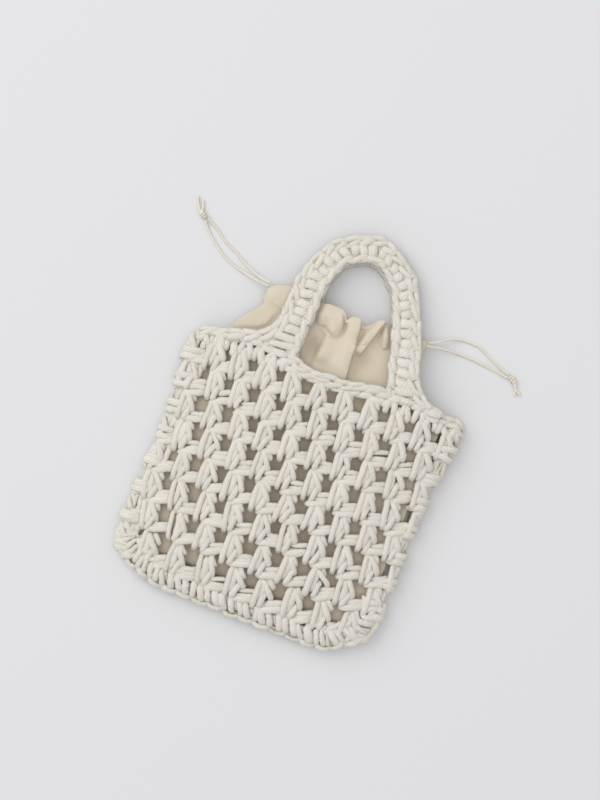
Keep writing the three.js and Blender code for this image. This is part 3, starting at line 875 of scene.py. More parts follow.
@dataclass
class RimBand:
    """The rim: a two-strand chain along the edge, on legs where the shoulders rise to the handles' feet."""

    pocket: Pocket
    edge: Table = (  # place across the bag, and the level of the rim's upper edge there
        (-137, 47), (-126, 52.5), (-116, 56.9), (-97, 61.4), (-84, 64), (-62, 61), (-36, 57.6), (-29, 55.6),
        (-20, 54), (0, 53.2), (12, 53.6), (22, 55.4), (32, 58.4), (41, 61), (52, 61), (74, 62), (92, 62.4),
        (110, 58.4), (126, 58.6), (133, 54), (137, 50),
    )
    level: float = 50.0  # level of the pocket that the rim is laid on
    usual_edge: float = 57.0
    rising: tuple[float, float] = (-22.0, -6.0)  # heights from the edge between which its rise sets in
    feet: tuple[tuple[float, float], ...] = ((-98.0, -40.0), (55.0, 104.0))  # where the handles' feet stand
    behind: tuple[float, float] = (22.0, 10.0)  # how far the under-chain runs on behind each foot
    link_pitch: float = 11.6
    leg_pitch: float = 6.6
    link_upper: Strand = Strand(
        ((-9.5, -4.2, -2), (-5, -3, 0.3), (0.5, -2.5, 1.2), (6, -2.6, 0.4), (9.5, -3.6, -2)), wide=2.6
    )
    link_lower: Strand = Strand(
        ((-9.5, -8.6, -2), (-5, -7.9, 0.6), (0.5, -7, 1.6), (6, -6.2, 0.8), (9.5, -5.2, -2)), wide=2.9
    )
    link_under: Strand = Strand(
        ((-9, -13.4, -2.4), (-4.5, -12.6, -0.2), (0.5, -11.7, 0.8), (5.5, -10.8, 0), (9, -10, -2.4))
    )
    broad_leg: Strand = Strand(
        (
            (-2.6, -8, -1.8), (-2, -9.6, 0.6), (-0.4, -12.4, 1.7), (1.2, -15.5, 1.3), (1.8, -17.4, -0.8),
            (1.8, -16.2, -2.8),
        ),
        wide=3.2,
    )
    slim_leg: Strand = Strand(
        (
            (1.6, -8, -1.8), (1.4, -9.4, 0.4), (0.4, -12, 1.5), (0, -14.8, 1.1), (0, -16.6, -0.8),
            (0, -15.6, -2.8),
        )
    )
    seed: int = 53

    def lay(self, points: Array) -> Array:
        """Lays flat knitting on the rim, with heights counted from its edge.

        Args:
            points: distance round the bag, height from the rim's edge, and height over the wall's middle.

        Returns:
            Points in the bag's frame.
        """
        flat = points.copy()
        flat[..., 1] = self.level
        laid = self.pocket.lay(flat)
        rise = read(self.edge, laid[..., 0])[..., 0] - self.usual_edge
        laid[..., 1] = self.usual_edge + points[..., 1] + rise * smoothstep(points[..., 1], *self.rising)
        return laid

    def places(self, pitch: float, start: float, stretch: Stretch) -> Array:
        """Gives places along the rim.

        Args:
            pitch: their pitch.
            start: where the first one lies.
            stretch: which of the rim they stand on.

        Returns:
            The places, before they are laid.
        """
        count = round(GIRTH / pitch)
        places = spots(start + GIRTH / count * np.arange(count))
        x = self.lay(places)[:, 0]
        (left, inner_left), (inner_right, right) = self.feet
        between = (x > inner_left) & (x < inner_right)
        keep = {
            Stretch.WHOLE: np.full(len(x), True),
            Stretch.BETWEEN: (x > inner_left - self.behind[0]) & (x < inner_right + self.behind[1]),
            Stretch.SHOULDERS: ~between,
            Stretch.FREE_EDGE: (x < left) | (x > right) | between,
        }
        return places[keep[stretch]]

    def build(self) -> bpy.types.Object:
        """Knits the rim.

        Returns:
            The piece.
        """
        knitting = Knitting(self.seed)
        courses = (  # each strand, its pitch, where the first one lies, and the stretch that it stands on
            (self.broad_leg, 2 * self.leg_pitch, 0.0, Stretch.SHOULDERS),
            (self.slim_leg, 2 * self.leg_pitch, self.leg_pitch, Stretch.SHOULDERS),
            (self.link_under, self.link_pitch, 0.0, Stretch.BETWEEN),
            (self.link_lower, self.link_pitch, self.link_pitch / 2, Stretch.WHOLE),
            (self.link_upper, self.link_pitch, 0.0, Stretch.FREE_EDGE),
        )
        for strand, pitch, start, stretch in courses:
            loose, turn = (0.7, 7.0) if stretch is Stretch.SHOULDERS else (0.5, 3.0)
            knitting.add(strand, self.places(pitch, start, stretch), self.lay, loose, turn)
        return add_piece("rim_stitches", knitting.mesh("rim_stitches"), CORD_FINISH, "rim_band")


class Side(Enum):
    """The two handles."""

    FRONT = 1
    BACK = 2


class Line(Enum):
    """The lines along a strap, each as its share of the way from the inner edge to the outer."""

    INNER = 0.0
    MIDDLE = 0.5
    OUTER = 1.0


@dataclass
class Handle:
    """A handle's strap: a braid of chain stitches along either edge and bars across between them."""

    side: Side
    shrink: float  # size of this strap's curve as a share of the front one's
    seed: int
    points: Table = (  # places on the inner edge and on the outer edge, from the left foot to the right
        (-34, 49, -103, 60.5), (-34, 57, -88, 63.8), (-34, 66, -73.5, 69.4), (-34, 76, -65.8, 78),
        (-34, 88, -63, 90), (-33, 111, -63, 112), (-32, 130, -60, 134), (-28, 143, -53, 154),
        (-20, 155, -39, 174), (0, 163, 0, 189.5), (18, 152, 35, 171), (27, 140, 48.5, 153),
        (38, 111, 65.5, 116), (47, 78, 77, 80), (50, 66, 86.5, 68.5), (51, 58, 96, 62), (52, 50, 109, 59.5),
    )
    foot: float = 57.0  # level of the feet
    top: float = 163.0  # level of the inside of the bend
    sag_from: float = 72.0  # level from which the front strap drops towards the back one
    foot_height: float = 22.7  # mid-height of the front strap at its feet
    clearance: float = 0.3  # between the straps where the front one lies on the back one
    braid_pitch: float = 13.6
    bar_pitch: float = 8.8
    bar_limit: float = 22.0  # widest bar
    bar_half_width: float = 4.7
    bar_insets: tuple[float, float] = (6.8, 8.6)  # a bar's ends from the inner and the outer edge
    bar_stray: float = 0.8  # how far a bar's end lies from its place
    bar_shoulder: float = 1.8  # length in which a bar rises at its end
    bar_lean: float = 0.5  # how far along the strap its ends lie from its middle, one on and one back
    bar_heights: tuple[float, float, float] = (-1.4, 1.0, 2.1)  # of its ends, its shoulders and its middle
    samples: int = 400  # along the strap
    core_insets: tuple[tuple[Line, float], ...] = ((Line.INNER, 7.5), (Line.MIDDLE, 0.0), (Line.OUTER, -8.0))
    inner_edge: Strand = Strand(
        ((-9.6, 4, -2.6), (-5, 3, -1), (0, 2.6, -0.4), (5, 3, -1), (9.6, 4, -2.6)), wide=2.6
    )
    inner_leaf: Strand = Strand(
        ((-9.4, 4, -2.2), (-6.6, 3.4, 0.4), (-2, 3.8, 1.8), (3, 5, 2), (7.4, 6.4, 0.8), (9.6, 7, -2)),
        wide=3.2,
    )
    outer_edge: Strand = Strand(
        ((-9.4, -3.6, -2), (-4.8, -2.7, 0.2), (0.5, -2.4, 1), (5.4, -2.9, 0.4), (9, -4.4, -2)), wide=2.9
    )
    outer_leaf: Strand = Strand(
        (
            (-8.8, -9.6, -2.2), (-6, -9.2, 0.6), (-1, -7.8, 1.9), (4, -6.2, 1.7), (7.6, -5, 0.2),
            (9.4, -4.4, -2),
        )
    )
    core: Strand = Strand(
        ((-10, 0, -1.6), (-5, 0, -0.8), (0, 0, -0.6), (5, 0, -0.8), (10, 0, -1.6)), wide=6.2
    )
    inner: Array = field(init=False)
    outer: Array = field(init=False)

    def __post_init__(self) -> None:
        """Works out the strap's two edges at even steps along it."""
        start = np.array([0.0, self.foot, 0.0, self.foot])
        both = smooth_route(start + self.shrink * (np.array(self.points) - start), self.samples)
        self.inner, self.outer = both[:, :2], both[:, 2:]

    def mid_height(self, y: Array) -> Array:
        """Gives the height of the strap's middle.

        Args:
            y: levels.

        Returns:
            The height at each level.
        """
        if self.side is Side.BACK:
            return np.full_like(y, KNIT / 2)
        top = KNIT + self.clearance + KNIT / 2  # over the whole back strap, and half of its own thickness
        return self.foot_height + (top - self.foot_height) * smoothstep(y, self.sag_from, self.top)

    def follow(self, line: Line) -> tuple[Array, Array]:
        """Gives one of the strap's lines, and the distance along it at each of its points."""
        route = self.inner + line.value * (self.outer - self.inner)
        return route, distances(route)

    def lay(self, line: Line) -> Lay:
        """Gives what lays flat knitting along one of the strap's lines.

        Args:
            line: the line. An edge's knitting runs square to it, and the middle's runs from edge to edge.

        Returns:
            What turns distance along the line, distance outwards from it and height over the strap's middle
            to points in the bag's frame.
        """
        route, length = self.follow(line)
        way = np.gradient(route, axis=0)
        square = np.stack([-way[:, 1], way[:, 0]], axis=1)
        away = unit(self.outer - self.inner if line is Line.MIDDLE else square)

        def place(points: Array) -> Array:
            """Lays points.

            Args:
                points: distance along, distance outwards and height.

            Returns:
                The points in the bag's frame.
            """
            out = sample(away, length, points[..., 0])
            flat = sample(route, length, points[..., 0]) + out * points[..., 1:2]
            height = self.mid_height(flat[..., 1]) + points[..., 2]
            return np.concatenate([flat, np.maximum(height, FLOOR_GAP)[..., None]], axis=-1)

        return place

    def places(self, line: Line, pitch: float) -> Array:
        """Gives places along one of the strap's lines.

        Args:
            line: the line.
            pitch: about how far apart they lie.

        Returns:
            The places, before they are laid.
        """
        length = self.follow(line)[1][-1]
        count = int(length / pitch)
        return spots((np.arange(count) + 0.5) * length / count)

    def build(self) -> bpy.types.Object:
        """Knits the strap.

        Returns:
            The piece.
        """
        knitting = Knitting(self.seed)
        name = f"handle_{self.side.name.lower()}_stitches"
        for line, inset in self.core_insets:
            knitting.add(self.core, self.places(line, self.braid_pitch) + [0, inset, 0], self.lay(line))
        for face in (1.0, -1.0):
            self.add_braids(knitting, face)
            self.add_bars(knitting, face)
        return add_piece(name, knitting.mesh(name), CORD_FINISH, f"handle_{self.side.name.lower()}")

    def add_braids(self, knitting: Knitting, face: float) -> None:
        """Adds the braids along both edges.

        Args:
            knitting: the knitting to add to.
            face: 1 for the upper face, -1 for the lower.
        """
        inner, outer = (self.inner_edge, self.inner_leaf), (self.outer_edge, self.outer_leaf)
        for line, strands in ((Line.INNER, inner), (Line.OUTER, outer)):
            for strand in strands:
                places = self.places(line, self.braid_pitch)
                knitting.add(self.turned(strand, face), places, self.lay(line), loose=0.4)

    @staticmethod
    def turned(strand: Strand, face: float) -> Strand:
        """Gives a strand for the upper face, or turned over for the lower."""
        return replace(strand, route=tuple((a, q, h * face) for a, q, h in strand.route))

    def add_bars(self, knitting: Knitting, face: float) -> None:
        """Adds the bars across between the braids.

        Args:
            knitting: the knitting to add to.
            face: 1 for the upper face, -1 for the lower.
        """
        along = self.follow(Line.MIDDLE)[1]
        lean, (low, shoulder, high) = self.bar_lean, self.bar_heights
        breadth = np.linalg.norm(self.outer - self.inner, axis=1)
        for place in self.places(Line.MIDDLE, self.bar_pitch):
            half = float(np.interp(place[0], along, breadth)) / 2
            start = self.bar_insets[0] - half + knitting.chance.normal(0, self.bar_stray)
            end = min(half - self.bar_insets[1], start + self.bar_limit)
            end += knitting.chance.normal(0, self.bar_stray)
            route = (
                (lean, start, low), (lean, start + self.bar_shoulder, shoulder),
                (0, (start + end) / 2, high),
                (-lean, end - self.bar_shoulder, shoulder), (-lean, end, low),
            )
            bar = self.turned(Strand(route, self.bar_half_width), face)
            knitting.add(bar, place[None], self.lay(Line.MIDDLE), loose=0.45, turn=8.0)


@dataclass(frozen=True)
class Fold:
    """A fold of the pouch's neck.

    It runs from its foot to its top, has its own width on either flank, and stands up or, below zero,
    sinks in.
    """

    foot: tuple[float, float]
    top: tuple[float, float]
    left: float
    right: float
    rise: float
    flat: float = 2.0  # how flat its crest is
    ramp: float = 0.5  # share of its length in which it grows to its full height
    beyond: float = 1.3  # where it has died out past its top, as a share of its length

    def lift(self, x: Array, y: Array) -> Array:
        """Gives how far the fold lifts the cloth.

        Args:
            x: places across the pouch.
            y: places up the pouch.

        Returns:
            The lift at each place.
        """
        run = np.subtract(self.top, self.foot)
        length = float(np.hypot(*run))
        way = run / length
        along = ((x - self.foot[0]) * way[0] + (y - self.foot[1]) * way[1]) / length
        aside = (x - self.foot[0]) * way[1] - (y - self.foot[1]) * way[0]
        flank = np.where(aside < 0, self.left, self.right)
        fade = smoothstep(along, 0, self.ramp) * (1 - smoothstep(along, 1.0, self.beyond))
        return self.rise * fade * np.exp(-np.abs(aside / flank) ** self.flat)


@dataclass(frozen=True)
class Crease:
    """A crease or a seam of the pouch's neck: its line, with the depth at each place, and its half width."""

    line: tuple[Point, ...]
    half_width: float

    def drop(self, x: Array, y: Array) -> Array:
        """Gives how far the crease draws the cloth down.

        Args:
            x: places across the pouch.
            y: places up the pouch.

        Returns:
            The drop at each place.
        """
        drop = np.zeros(x.shape)
        for start, end in zip(self.line, self.line[1:]):
            run = np.subtract(end, start)
            t = np.clip(((x - start[0]) * run[0] + (y - start[1]) * run[1]) / (run[:2] @ run[:2]), 0, 1)
            near = np.hypot(x - start[0] - t * run[0], y - start[1] - t * run[1])
            drop = np.maximum(drop, (start[2] + t * run[2]) * np.exp(-((near / self.half_width) ** 2)))
        return drop


@dataclass(frozen=True)
class Hollow:
    """A place where both cloths of the pouch sag between the straps: its middle, half widths and depth."""

    middle: tuple[float, float]
    half_widths: tuple[float, float]
    depth: float

    def drop(self, x: Array, y: Array) -> Array:
        """Gives how far the cloth sags.

        Args:
            x: places across the pouch.
            y: places up the pouch.

        Returns:
            The sag at each place.
        """
        across = (x - self.middle[0]) / self.half_widths[0]
        up = (y - self.middle[1]) / self.half_widths[1]
        return self.depth * np.exp(-(across**2) - up**2)


@dataclass
class Pouch:
    """The cloth pouch: flat inside the net, gathered at the neck, with a sewn casing for the drawstring."""

    levels: Table = (  # level, left and right edge, underside, upper cloth's height at its edges and middle
        (-158, -105, 99, 9.8, 11.8, 12.6),
        (-140, -114, 109, 9.8, 11.8, 14.6),
        (-100, -115, 112, 9.8, 11.8, 16),
        (-20, -115, 112, 9.8, 11.8, 16.2),
        (30, -113, 113, 9.8, 12, 16.2),
        (42, -110, 111, 9.8, 12.1, 16.1),
        (57, -105, 86, 9.8, 12.3, 16),
        (75, -95, 78, 9.8, 12.6, 15.6),
        (92, -82, 71.5, 9.8, 12.8, 14),
        (96, -83, 71.5, 9.8, 13, 14),
        (110, -83, 72, 9.8, 13, 13.4),
        (117, -83, 72, 9.8, 12.8, 13),
    )
    folds: tuple[Fold, ...] = (
        Fold((-81, 97.8), (-63, 93.2), 0.9, 0.9, 0.9, ramp=0.1),
        Fold((-18.5, 83), (-18, 116), 12.5, 12, 5, flat=6, ramp=0.3),
        Fold((16, 30), (7.8, 116), 14, 1.3, 7.5, flat=3, ramp=0.42),
        Fold((16.5, 77), (28.2, 116), 7.5, 1.4, 7.5, flat=4, ramp=0.16),
        Fold((38.5, 89), (30.5, 118), 3.2, 3.6, 4, flat=3, ramp=0.2),
        Fold((-17.5, 58), (-14.5, 92), 3.2, 12, 4.2, ramp=0.3),
        Fold((-30, 44), (-28, 90), 14, 10, -4.5, flat=4, ramp=0.2),
        Fold((42, 36), (40, 90), 26, 16, -3.5, ramp=0.2),
    )
    creases: tuple[Crease, ...] = (
        Crease(
            (
                (-33, 90, 2.2), (-27, 91, 3), (-21, 92.6, 3), (-17.5, 90, 3), (-14, 87.4, 2.4),
                (-9, 85.2, 1.2), (-6, 84, 0),
            ),
            1.3,
        ),
        Crease(
            ((-7.6, 113, 2), (-6, 108, 4), (-4.4, 103, 6), (-3.6, 97, 5), (-4, 92, 2.4), (-4.8, 86, 0)), 1.9
        ),
        Crease(((12.5, 108, 3), (12.7, 100, 3), (12.2, 93, 2.4), (11.4, 87, 0)), 2.6),
        Crease(((10.5, 88, 1.2), (15, 88.6, 1.6), (20.5, 91, 1.2)), 1.0),
        Crease(((21.6, 86, 0), (25.4, 95, 2.5), (27.9, 105, 3), (30, 115, 2)), 1.6),
        Crease(((31, 90.8, 1.8), (35, 92.6, 1.8), (41, 93.6, 1.8), (52, 94, 1.8), (72, 97, 1.8)), 1.2),
        Crease(
            (
                (-84, 100, 1.5), (-80, 98.4, 1.5), (-74, 95.4, 1.5), (-68, 93, 1.5), (-62, 91.4, 1.5),
                (-33, 90, 1.5),
            ),
            1.1,
        ),
        Crease(((-92, 62, 1.4), (-77, 67.5, 2.6), (-69, 75, 2.6), (-66, 84, 2), (-65.5, 92, 0)), 2.8),
    )
    hollows: tuple[Hollow, ...] = (Hollow((-26, 71.5), (6, 9), 7.2), Hollow((22, 72), (9, 10), 5.8))
    mouth: Table = (  # place across the pouch, and the level of the mouth's edge there
        (-83, 108), (-77, 112.5), (-68, 116), (-58, 118), (-40, 116), (-31, 113), (-24, 114.2), (-11, 113.8),
        (-8, 111.5), (-6.2, 109), (-4.6, 106.5), (-3.2, 108.5), (-2, 110.3), (0, 111.2), (6, 112), (8, 111),
        (9.6, 108.5), (13, 107.5), (16.5, 110), (20, 114.5), (25, 117.5), (29.5, 117.5), (33, 114),
        (37, 114.5), (45, 113), (60, 114.5), (72, 115),
    )
    neck: float = 50.0  # level from which the rows of the mesh lie closer
    seam: float = 93.0  # level of the casing's seam
    top: float = 117.0
    mouth_from: float = 100.0  # level from which the mouth's uneven edge pulls on the cloth
    back_from: float = 90.0  # level from which the under cloth stays behind
    back_drop: float = 8.0  # how far its edge ends below the upper one's
    puff: float = 1.3  # how far the casing stands up
    flank: float = 0.09  # share of the half width in which folds die out at the side edges
    cloth: float = 1.2  # thickness of the cloth, with its nap
    least_gap: float = 2.6  # between the outsides of the two cloths
    counts: tuple[int, int, int, int] = (50, 90, 240, 48)  # low and high rows, points across each cloth

    def surface(self, across: Array, y: Array, upper: bool) -> Array:
        """Gives points of the upper or under cloth.

        Args:
            across: from -1 at the left edge to 1 at the right.
            y: levels.
            upper: which cloth.

        Returns:
            The points.
        """
        left, right, under, edge, middle = np.moveaxis(read(self.levels, y), -1, 0)
        x = (left + right) / 2 + (right - left) / 2 * across
        sag = sum(hollow.drop(x, y) for hollow in self.hollows)
        under = under - sag
        if not upper:
            level = y - self.back_drop * smoothstep(y, self.back_from, self.top)
            return np.stack([x, level, under], axis=-1)
        flank = smoothstep(1 - np.abs(across), 0, self.flank)
        casing = self.puff * np.sin(np.pi * np.clip((y - self.seam) / (self.top - self.seam), 0, 1))
        z = edge + (middle - edge) * (1 - across**2)
        folds = sum(fold.lift(x, y) for fold in self.folds)
        folds = folds - sum(crease.drop(x, y) for crease in self.creases)
        pull = smoothstep(y, self.mouth_from, self.top)
        level = y + (read(self.mouth, x)[..., 0] - self.top) * pull
        height = np.maximum(z - sag + flank * (folds + casing), under + self.least_gap)
        return np.stack([x, level, height], axis=-1)

    @staticmethod
    def spread(count: int) -> Array:
        """Gives places across the pouch from -1 to 1, closest in the middle where the folds are."""
        even = np.linspace(-1, 1, count)
        return 0.5 * even + 0.5 * even**3

    def build(self) -> bpy.types.Object:
        """Sews the pouch.

        Returns:
            The piece.
        """
        lower, higher, over, below = self.counts
        ys = np.linspace(self.levels[0][0], self.neck, lower, endpoint=False)
        ys = np.concatenate([ys, np.linspace(self.neck, self.top, higher)])
        upper = self.surface(*np.meshgrid(self.spread(over), ys), True)
        under = self.surface(*np.meshgrid(self.spread(below)[::-1], ys), False)
        rings = np.concatenate([upper, under], axis=1) * MM
        count = rings.shape[1]
        mesh = bmesh.new()
        loops = [[mesh.verts.new(point) for point in ring] for ring in rings]
        for low, high in zip(loops, loops[1:]):
            for k in range(count):
                n = (k + 1) % count
                mesh.faces.new((low[k], low[n], high[n], high[k]))
        mesh.faces.new(loops[0][::-1])
        bmesh.ops.recalc_face_normals(mesh, faces=mesh.faces)
        data = bpy.data.meshes.new("pouch_cloth")
        mesh.to_mesh(data)
        mesh.free()
        data.polygons.foreach_set("use_smooth", [True] * len(data.polygons))
        piece = add_piece("pouch_cloth", data, CLOTH_FINISH, "pouch")
        wall = piece.modifiers.new("cloth", "SOLIDIFY")
        wall.thickness = self.cloth * MM
        wall.offset = -1
        return piece


@dataclass(frozen=True)
class Twine:
    """The drawstring's soft twisted string."""

    diameter: float = 2.2
    plies: int = 3
    ply_depth: float = 0.1  # half depth of the grooves between the plies, as a share of the radius
    twist: float = 6.0  # length in which a ply goes once round
    fray_from: float = 0.75  # share of the length from which an end frays
    sides: int = 12

    @staticmethod
    def sections(path: Array) -> tuple[Array, Array]:
        """Gives the two ways across a path, carried along it without a turn.

        Args:
            path: the path.

        Returns:
            The two ways at each of its points.
        """
        way = unit(np.gradient(path, axis=0))
        side = np.cross(way[0], (0.3, 0.2, 1.0))  # a slanting way that no path starts along
        sides = []
        for step in way:
            side = unit(side - step * (side @ step))
            sides.append(side)
        return np.array(sides), np.cross(np.array(sides), way)

    def mesh(self, name: str, paths: Sequence[Array], flare: float = 0.0) -> bpy.types.Mesh:
        """Twists string along paths.

        Args:
            name: the mesh's name.
            paths: the paths, of equal numbers of points.
            flare: how far the end frays out, as a share of the radius.

        Returns:
            The mesh, with a UV map that follows the string.
        """
        steps = len(paths[0])
        tube = Tube(self.sides, steps)
        turn = np.arctan2(tube.corners[:, 1], tube.corners[:, 0])
        corners, wraps, faces = [], [], []
        for k, path in enumerate(paths):
            side, up = self.sections(path)
            length = distances(path)[-1]
            along = tube.ring * length / (steps - 1)
            ply = np.cos(self.plies * (turn - math.tau * along / self.twist))
            lobes = 1 - self.ply_depth + self.ply_depth * ply
            frayed = 1 + flare * smoothstep(tube.ring / (steps - 1), self.fray_from, 1.0)
            out = np.cos(turn)[:, None] * side[tube.ring] + np.sin(turn)[:, None] * up[tube.ring]
            corners.append(path[tube.ring] + (self.diameter / 2 * lobes * frayed)[:, None] * out)
            wraps.append(tube.wrap * [1, length / (steps - 1)])
            faces += [[c + k * len(tube.corners) for c in face] for face in tube.faces]
        points = np.concatenate(corners)
        points[:, 2] = np.maximum(points[:, 2], FLOOR_GAP)
        return cord_mesh(name, points * MM, faces, np.concatenate(wraps))


@dataclass
class Knot:
    """A knot in the drawstring's two strands, with the two cut tails beyond it."""

    name: str
    centre: Point
    along: tuple[float, float]
    tails: tuple[tuple[float, float], ...]
    twine: Twine = Twine()
    turns: float = 2.4
    half_length: float = 2.9  # half of the length that the turns take up
    reach: tuple[float, float] = (2.4, 1.7)  # how far out the turns' middle goes, across and up
    tight: float = 0.35  # how far out the first and the last turn go, as a share of that
    tail_start: tuple[float, float] = (-2.5, 0.9)  # where a tail starts inside the turns, ahead and aside
    tail_out: tuple[float, float] = (3.6, 0.8)  # where it leaves them
    tail_bend: tuple[float, float] = (0.8, 0.5)  # how far it bends aside and up on its way to its end
    flare: float = 0.25  # how far the cut ends fray
    count: int = 60  # points along each stretch

    def build(self) -> bpy.types.Object:
        """Ties the knot.

        Returns:
            The piece.
        """
        ahead = np.array([*self.along, 0.0]) / np.hypot(*self.along)
        across = np.array([-ahead[1], ahead[0], 0.0])
        centre = np.array(self.centre)
        t = np.linspace(0, 1, self.count)[:, None]
        turn = math.tau * self.turns * t
        tight = self.tight + (1 - self.tight) * np.sin(np.pi * t) ** 0.5
        wrap = centre + ahead * self.half_length * (2 * t - 1)
        wrap += across * self.reach[0] * tight * np.cos(turn)
        wrap += np.array([0, 0, 1.0]) * self.reach[1] * tight * np.sin(turn)
        paths = [smooth_route(wrap, self.count)]
        rest = self.twine.diameter / 2 + FLOOR_GAP
        for sign, tail in zip((1, -1), self.tails):
            end = np.array([*tail, rest])
            start = centre + self.tail_start[0] * ahead + sign * self.tail_start[1] * across
            middle = centre + self.tail_out[0] * ahead + sign * self.tail_out[1] * across
            bend = 0.5 * (middle + end) + self.tail_bend[0] * sign * across
            bend[2] = rest + self.tail_bend[1]
            paths.append(smooth_route([start, middle, bend, end], self.count))
        mesh = self.twine.mesh(self.name, paths, self.flare)
        return add_piece(self.name, mesh, STRING_FINISH, self.name.replace("tied_", ""))


@dataclass
class Drawstring:
    """One free strand of the drawstring, from the casing down to the surface and on to its knot."""

    name: str
    route: tuple[Point, ...]
    knot: bpy.types.Object
    twine: Twine = Twine()
    count: int = 110  # points along the strand

    def build(self) -> bpy.types.Object:
        """Twists the strand.

        Returns:
            The piece.
        """
        path = smooth_route(self.route, self.count)
        mesh = self.twine.mesh(self.name, [path])
        piece = add_piece(self.name, mesh, STRING_FINISH, self.name.replace("string_", "drawstring_"))
        [c * MM for c in self.route[0]]
        float(distances(path)[-1]) * MM
        return piece


KNOTS = {
    "left": Knot("tied_knot_left", (-164.6, 149, 2.9), (-0.78, 0.62), ((-175.7, 163.4), (-170.2, 161.6))),
    "right": Knot("tied_knot_right", (158.8, 112, 2.9), (0.8, -0.6), ((166.4, 99), (170.6, 101.4))),
}
STRANDS = {  # the drawstrings' routes from the casing to the knots
    "left_upper": (
        (-83.4, 112.6, 11.3), (-86.5, 112.7, 11.2), (-90.5, 113.3, 10.3), (-95.5, 114.6, 8.4),
        (-101, 116.6, 6), (-107, 119.1, 3.9), (-113, 121.9, 2.4), (-119, 125.3, 1.6), (-125.2, 128.6, 1.3),
        (-131, 131, 1.3), (-136.5, 133.6, 1.3), (-142, 137.5, 1.3), (-148, 141.8, 1.3), (-154.2, 145.2, 1.6),
        (-159.6, 147.8, 2.6),
    ),
    "left_lower": (
        (-83.4, 109.4, 11.3), (-86.5, 109.4, 11.2), (-91, 109.8, 10.2), (-96.5, 110.6, 8.1),
        (-102.5, 111.6, 5.7), (-108.5, 112.8, 3.6), (-114.5, 114.2, 2.2), (-120.5, 115.9, 1.5),
        (-126.5, 118, 1.3), (-132.5, 120.8, 1.3), (-138.5, 124.4, 1.3), (-144.5, 128.7, 1.3),
        (-150.5, 133.4, 1.3), (-156.4, 139, 1.6), (-160.9, 144.9, 2.6),
    ),
    "right_upper": (
        (72.4, 114.8, 11.3), (75.5, 115.3, 11.2), (79.5, 117.2, 10.2), (84, 120.3, 8.2), (88.5, 123.6, 5.9),
        (94, 126.6, 3.7), (100.3, 128.6, 2.1), (107.5, 129.4, 1.4), (114.5, 129.3, 1.3), (121, 128.2, 1.3),
        (127, 125.7, 1.3), (133, 122.6, 1.3), (140, 119.5, 1.3), (147.5, 117, 1.6), (154.5, 115, 2.6),
    ),
    "right_lower": (
        (72.4, 111.4, 11.3), (75.5, 111.7, 11.2), (80, 112.6, 10.2), (85.5, 113.8, 8), (91.5, 114.8, 5.5),
        (97.5, 115.4, 3.4), (103.5, 115.7, 2), (109.5, 115.8, 1.4), (115.5, 115.7, 1.3), (121.5, 115.3, 1.3),
        (127.5, 114.8, 1.3), (134, 114.2, 1.3), (141, 113.4, 1.3), (147.8, 112.5, 1.6), (154, 111.5, 2.6),
    ),
}


@dataclass(frozen=True)
class Lamp:
    """A soft square light: its name, its place and side in metres, and its power in watts."""

    name: str
    place: Point
    size: float
    power: float


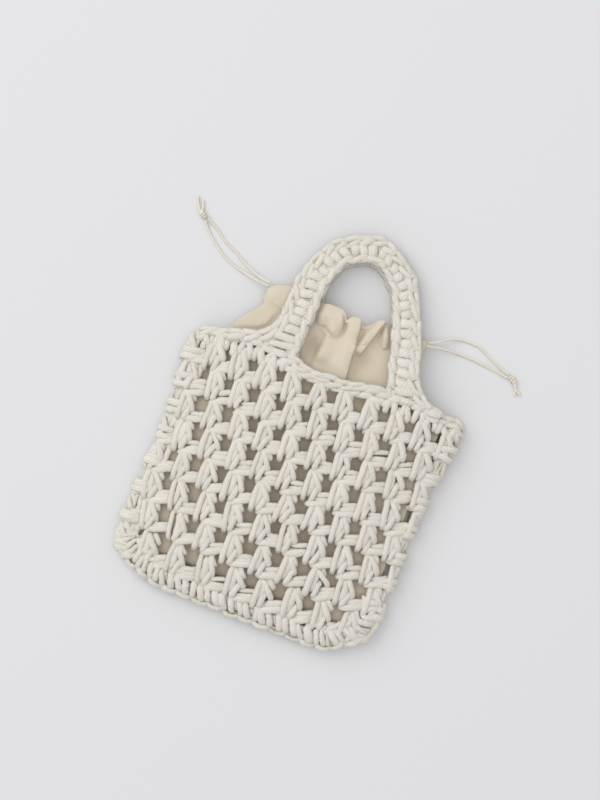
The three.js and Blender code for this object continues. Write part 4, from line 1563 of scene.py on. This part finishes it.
@dataclass
class Studio:
    """The camera, the soft light and the pale floor. Its sizes are in metres."""

    turn: float = 21.5  # the bag's turn in the view, in degrees
    centre: tuple[float, float] = (-0.0179, 0.0218)  # the middle of the view
    height: float = 1.5  # of the camera
    bag: float = 0.02  # mid-height of the bag
    view: float = 0.736  # length of the floor that the view's long side takes in
    sensor: float = 36.0  # the camera's sensor, in millimetres
    lamps: tuple[Lamp, ...] = (
        Lamp("window", (-3.16, 1.38, 2.89), 3.8, 78.0),
        Lamp("ceiling", (0.0, 0.0, 3.2), 3.0, 24.0),
    )
    room: str = "FBFBFD"
    room_strength: float = 0.64
    floor: str = "E1E1E2"
    floor_roughness: float = 0.8
    floor_reach: float = 30.0  # half the floor's side, so that its end doesn't show

    def build(self) -> None:
        """Sets up the view, the light and the floor."""
        scene = bpy.context.scene
        scene.view_settings.view_transform = "Standard"
        camera = bpy.data.objects.new("camera", bpy.data.cameras.new("camera"))
        camera.data.lens = self.sensor * (self.height - self.bag) / self.view
        camera.location = (*self.centre, self.height)
        camera.rotation_euler = (0, 0, math.radians(self.turn))
        scene.collection.objects.link(camera)
        scene.camera = camera
        for lamp in self.lamps:
            self.add_light(lamp)
        world = bpy.data.worlds.new("room")
        world.use_nodes = True
        world.node_tree.nodes["Background"].inputs["Color"].default_value = linear(self.room)
        world.node_tree.nodes["Background"].inputs["Strength"].default_value = self.room_strength
        scene.world = world
        self.add_floor()

    @staticmethod
    def add_light(lamp: Lamp) -> None:
        """Adds a soft light aimed at the bag.

        Args:
            lamp: the light.
        """
        light = bpy.data.objects.new(lamp.name, bpy.data.lights.new(lamp.name, "AREA"))
        light.data.size = lamp.size
        light.data.energy = lamp.power
        light.location = lamp.place
        aim = -light.location
        light.rotation_euler = aim.to_track_quat("-Z", "Y").to_euler()
        bpy.context.scene.collection.objects.link(light)

    def add_floor(self) -> None:
        """Adds the pale floor."""
        mesh = bmesh.new()
        bmesh.ops.create_grid(mesh, x_segments=1, y_segments=1, size=self.floor_reach)
        data = bpy.data.meshes.new("floor")
        mesh.to_mesh(data)
        mesh.free()
        floor = bpy.data.objects.new("floor", data)
        bpy.context.scene.collection.objects.link(floor)
        material = bpy.data.materials.new("painted_floor")  # matt white paint
        material.use_nodes = True
        surface = material.node_tree.nodes["Principled BSDF"]
        surface.inputs["Base Color"].default_value = linear(self.floor)
        surface.inputs["Roughness"].default_value = self.floor_roughness
        data.materials.append(material)
        floor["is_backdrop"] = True


def main() -> None:
    """Builds the scene: the view and the drawstring first, then the bag and the pouch."""
    logging.basicConfig(level=logging.INFO, format="%(name)s: %(message)s")
    Studio().build()
    tied = {side: knot.build() for side, knot in KNOTS.items()}
    for name, route in STRANDS.items():
        Drawstring(f"string_{name}", route, tied[name.split("_")[0]]).build()
    pocket = Pocket()
    net = NetBody(pocket)
    for wall in Wall:
        net.build(wall)
    BaseBand().build()
    RimBand(pocket).build()
    Handle(Side.FRONT, shrink=1.0, seed=71).build()
    Handle(Side.BACK, shrink=0.982, seed=83).build()
    Pouch().build()
    boxes = {"cad": CAD_BOX, "visual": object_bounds()}
    {name: [list(map(float, corner)) for corner in box] for name, box in boxes.items()}


if __name__ == "__main__":
    main()
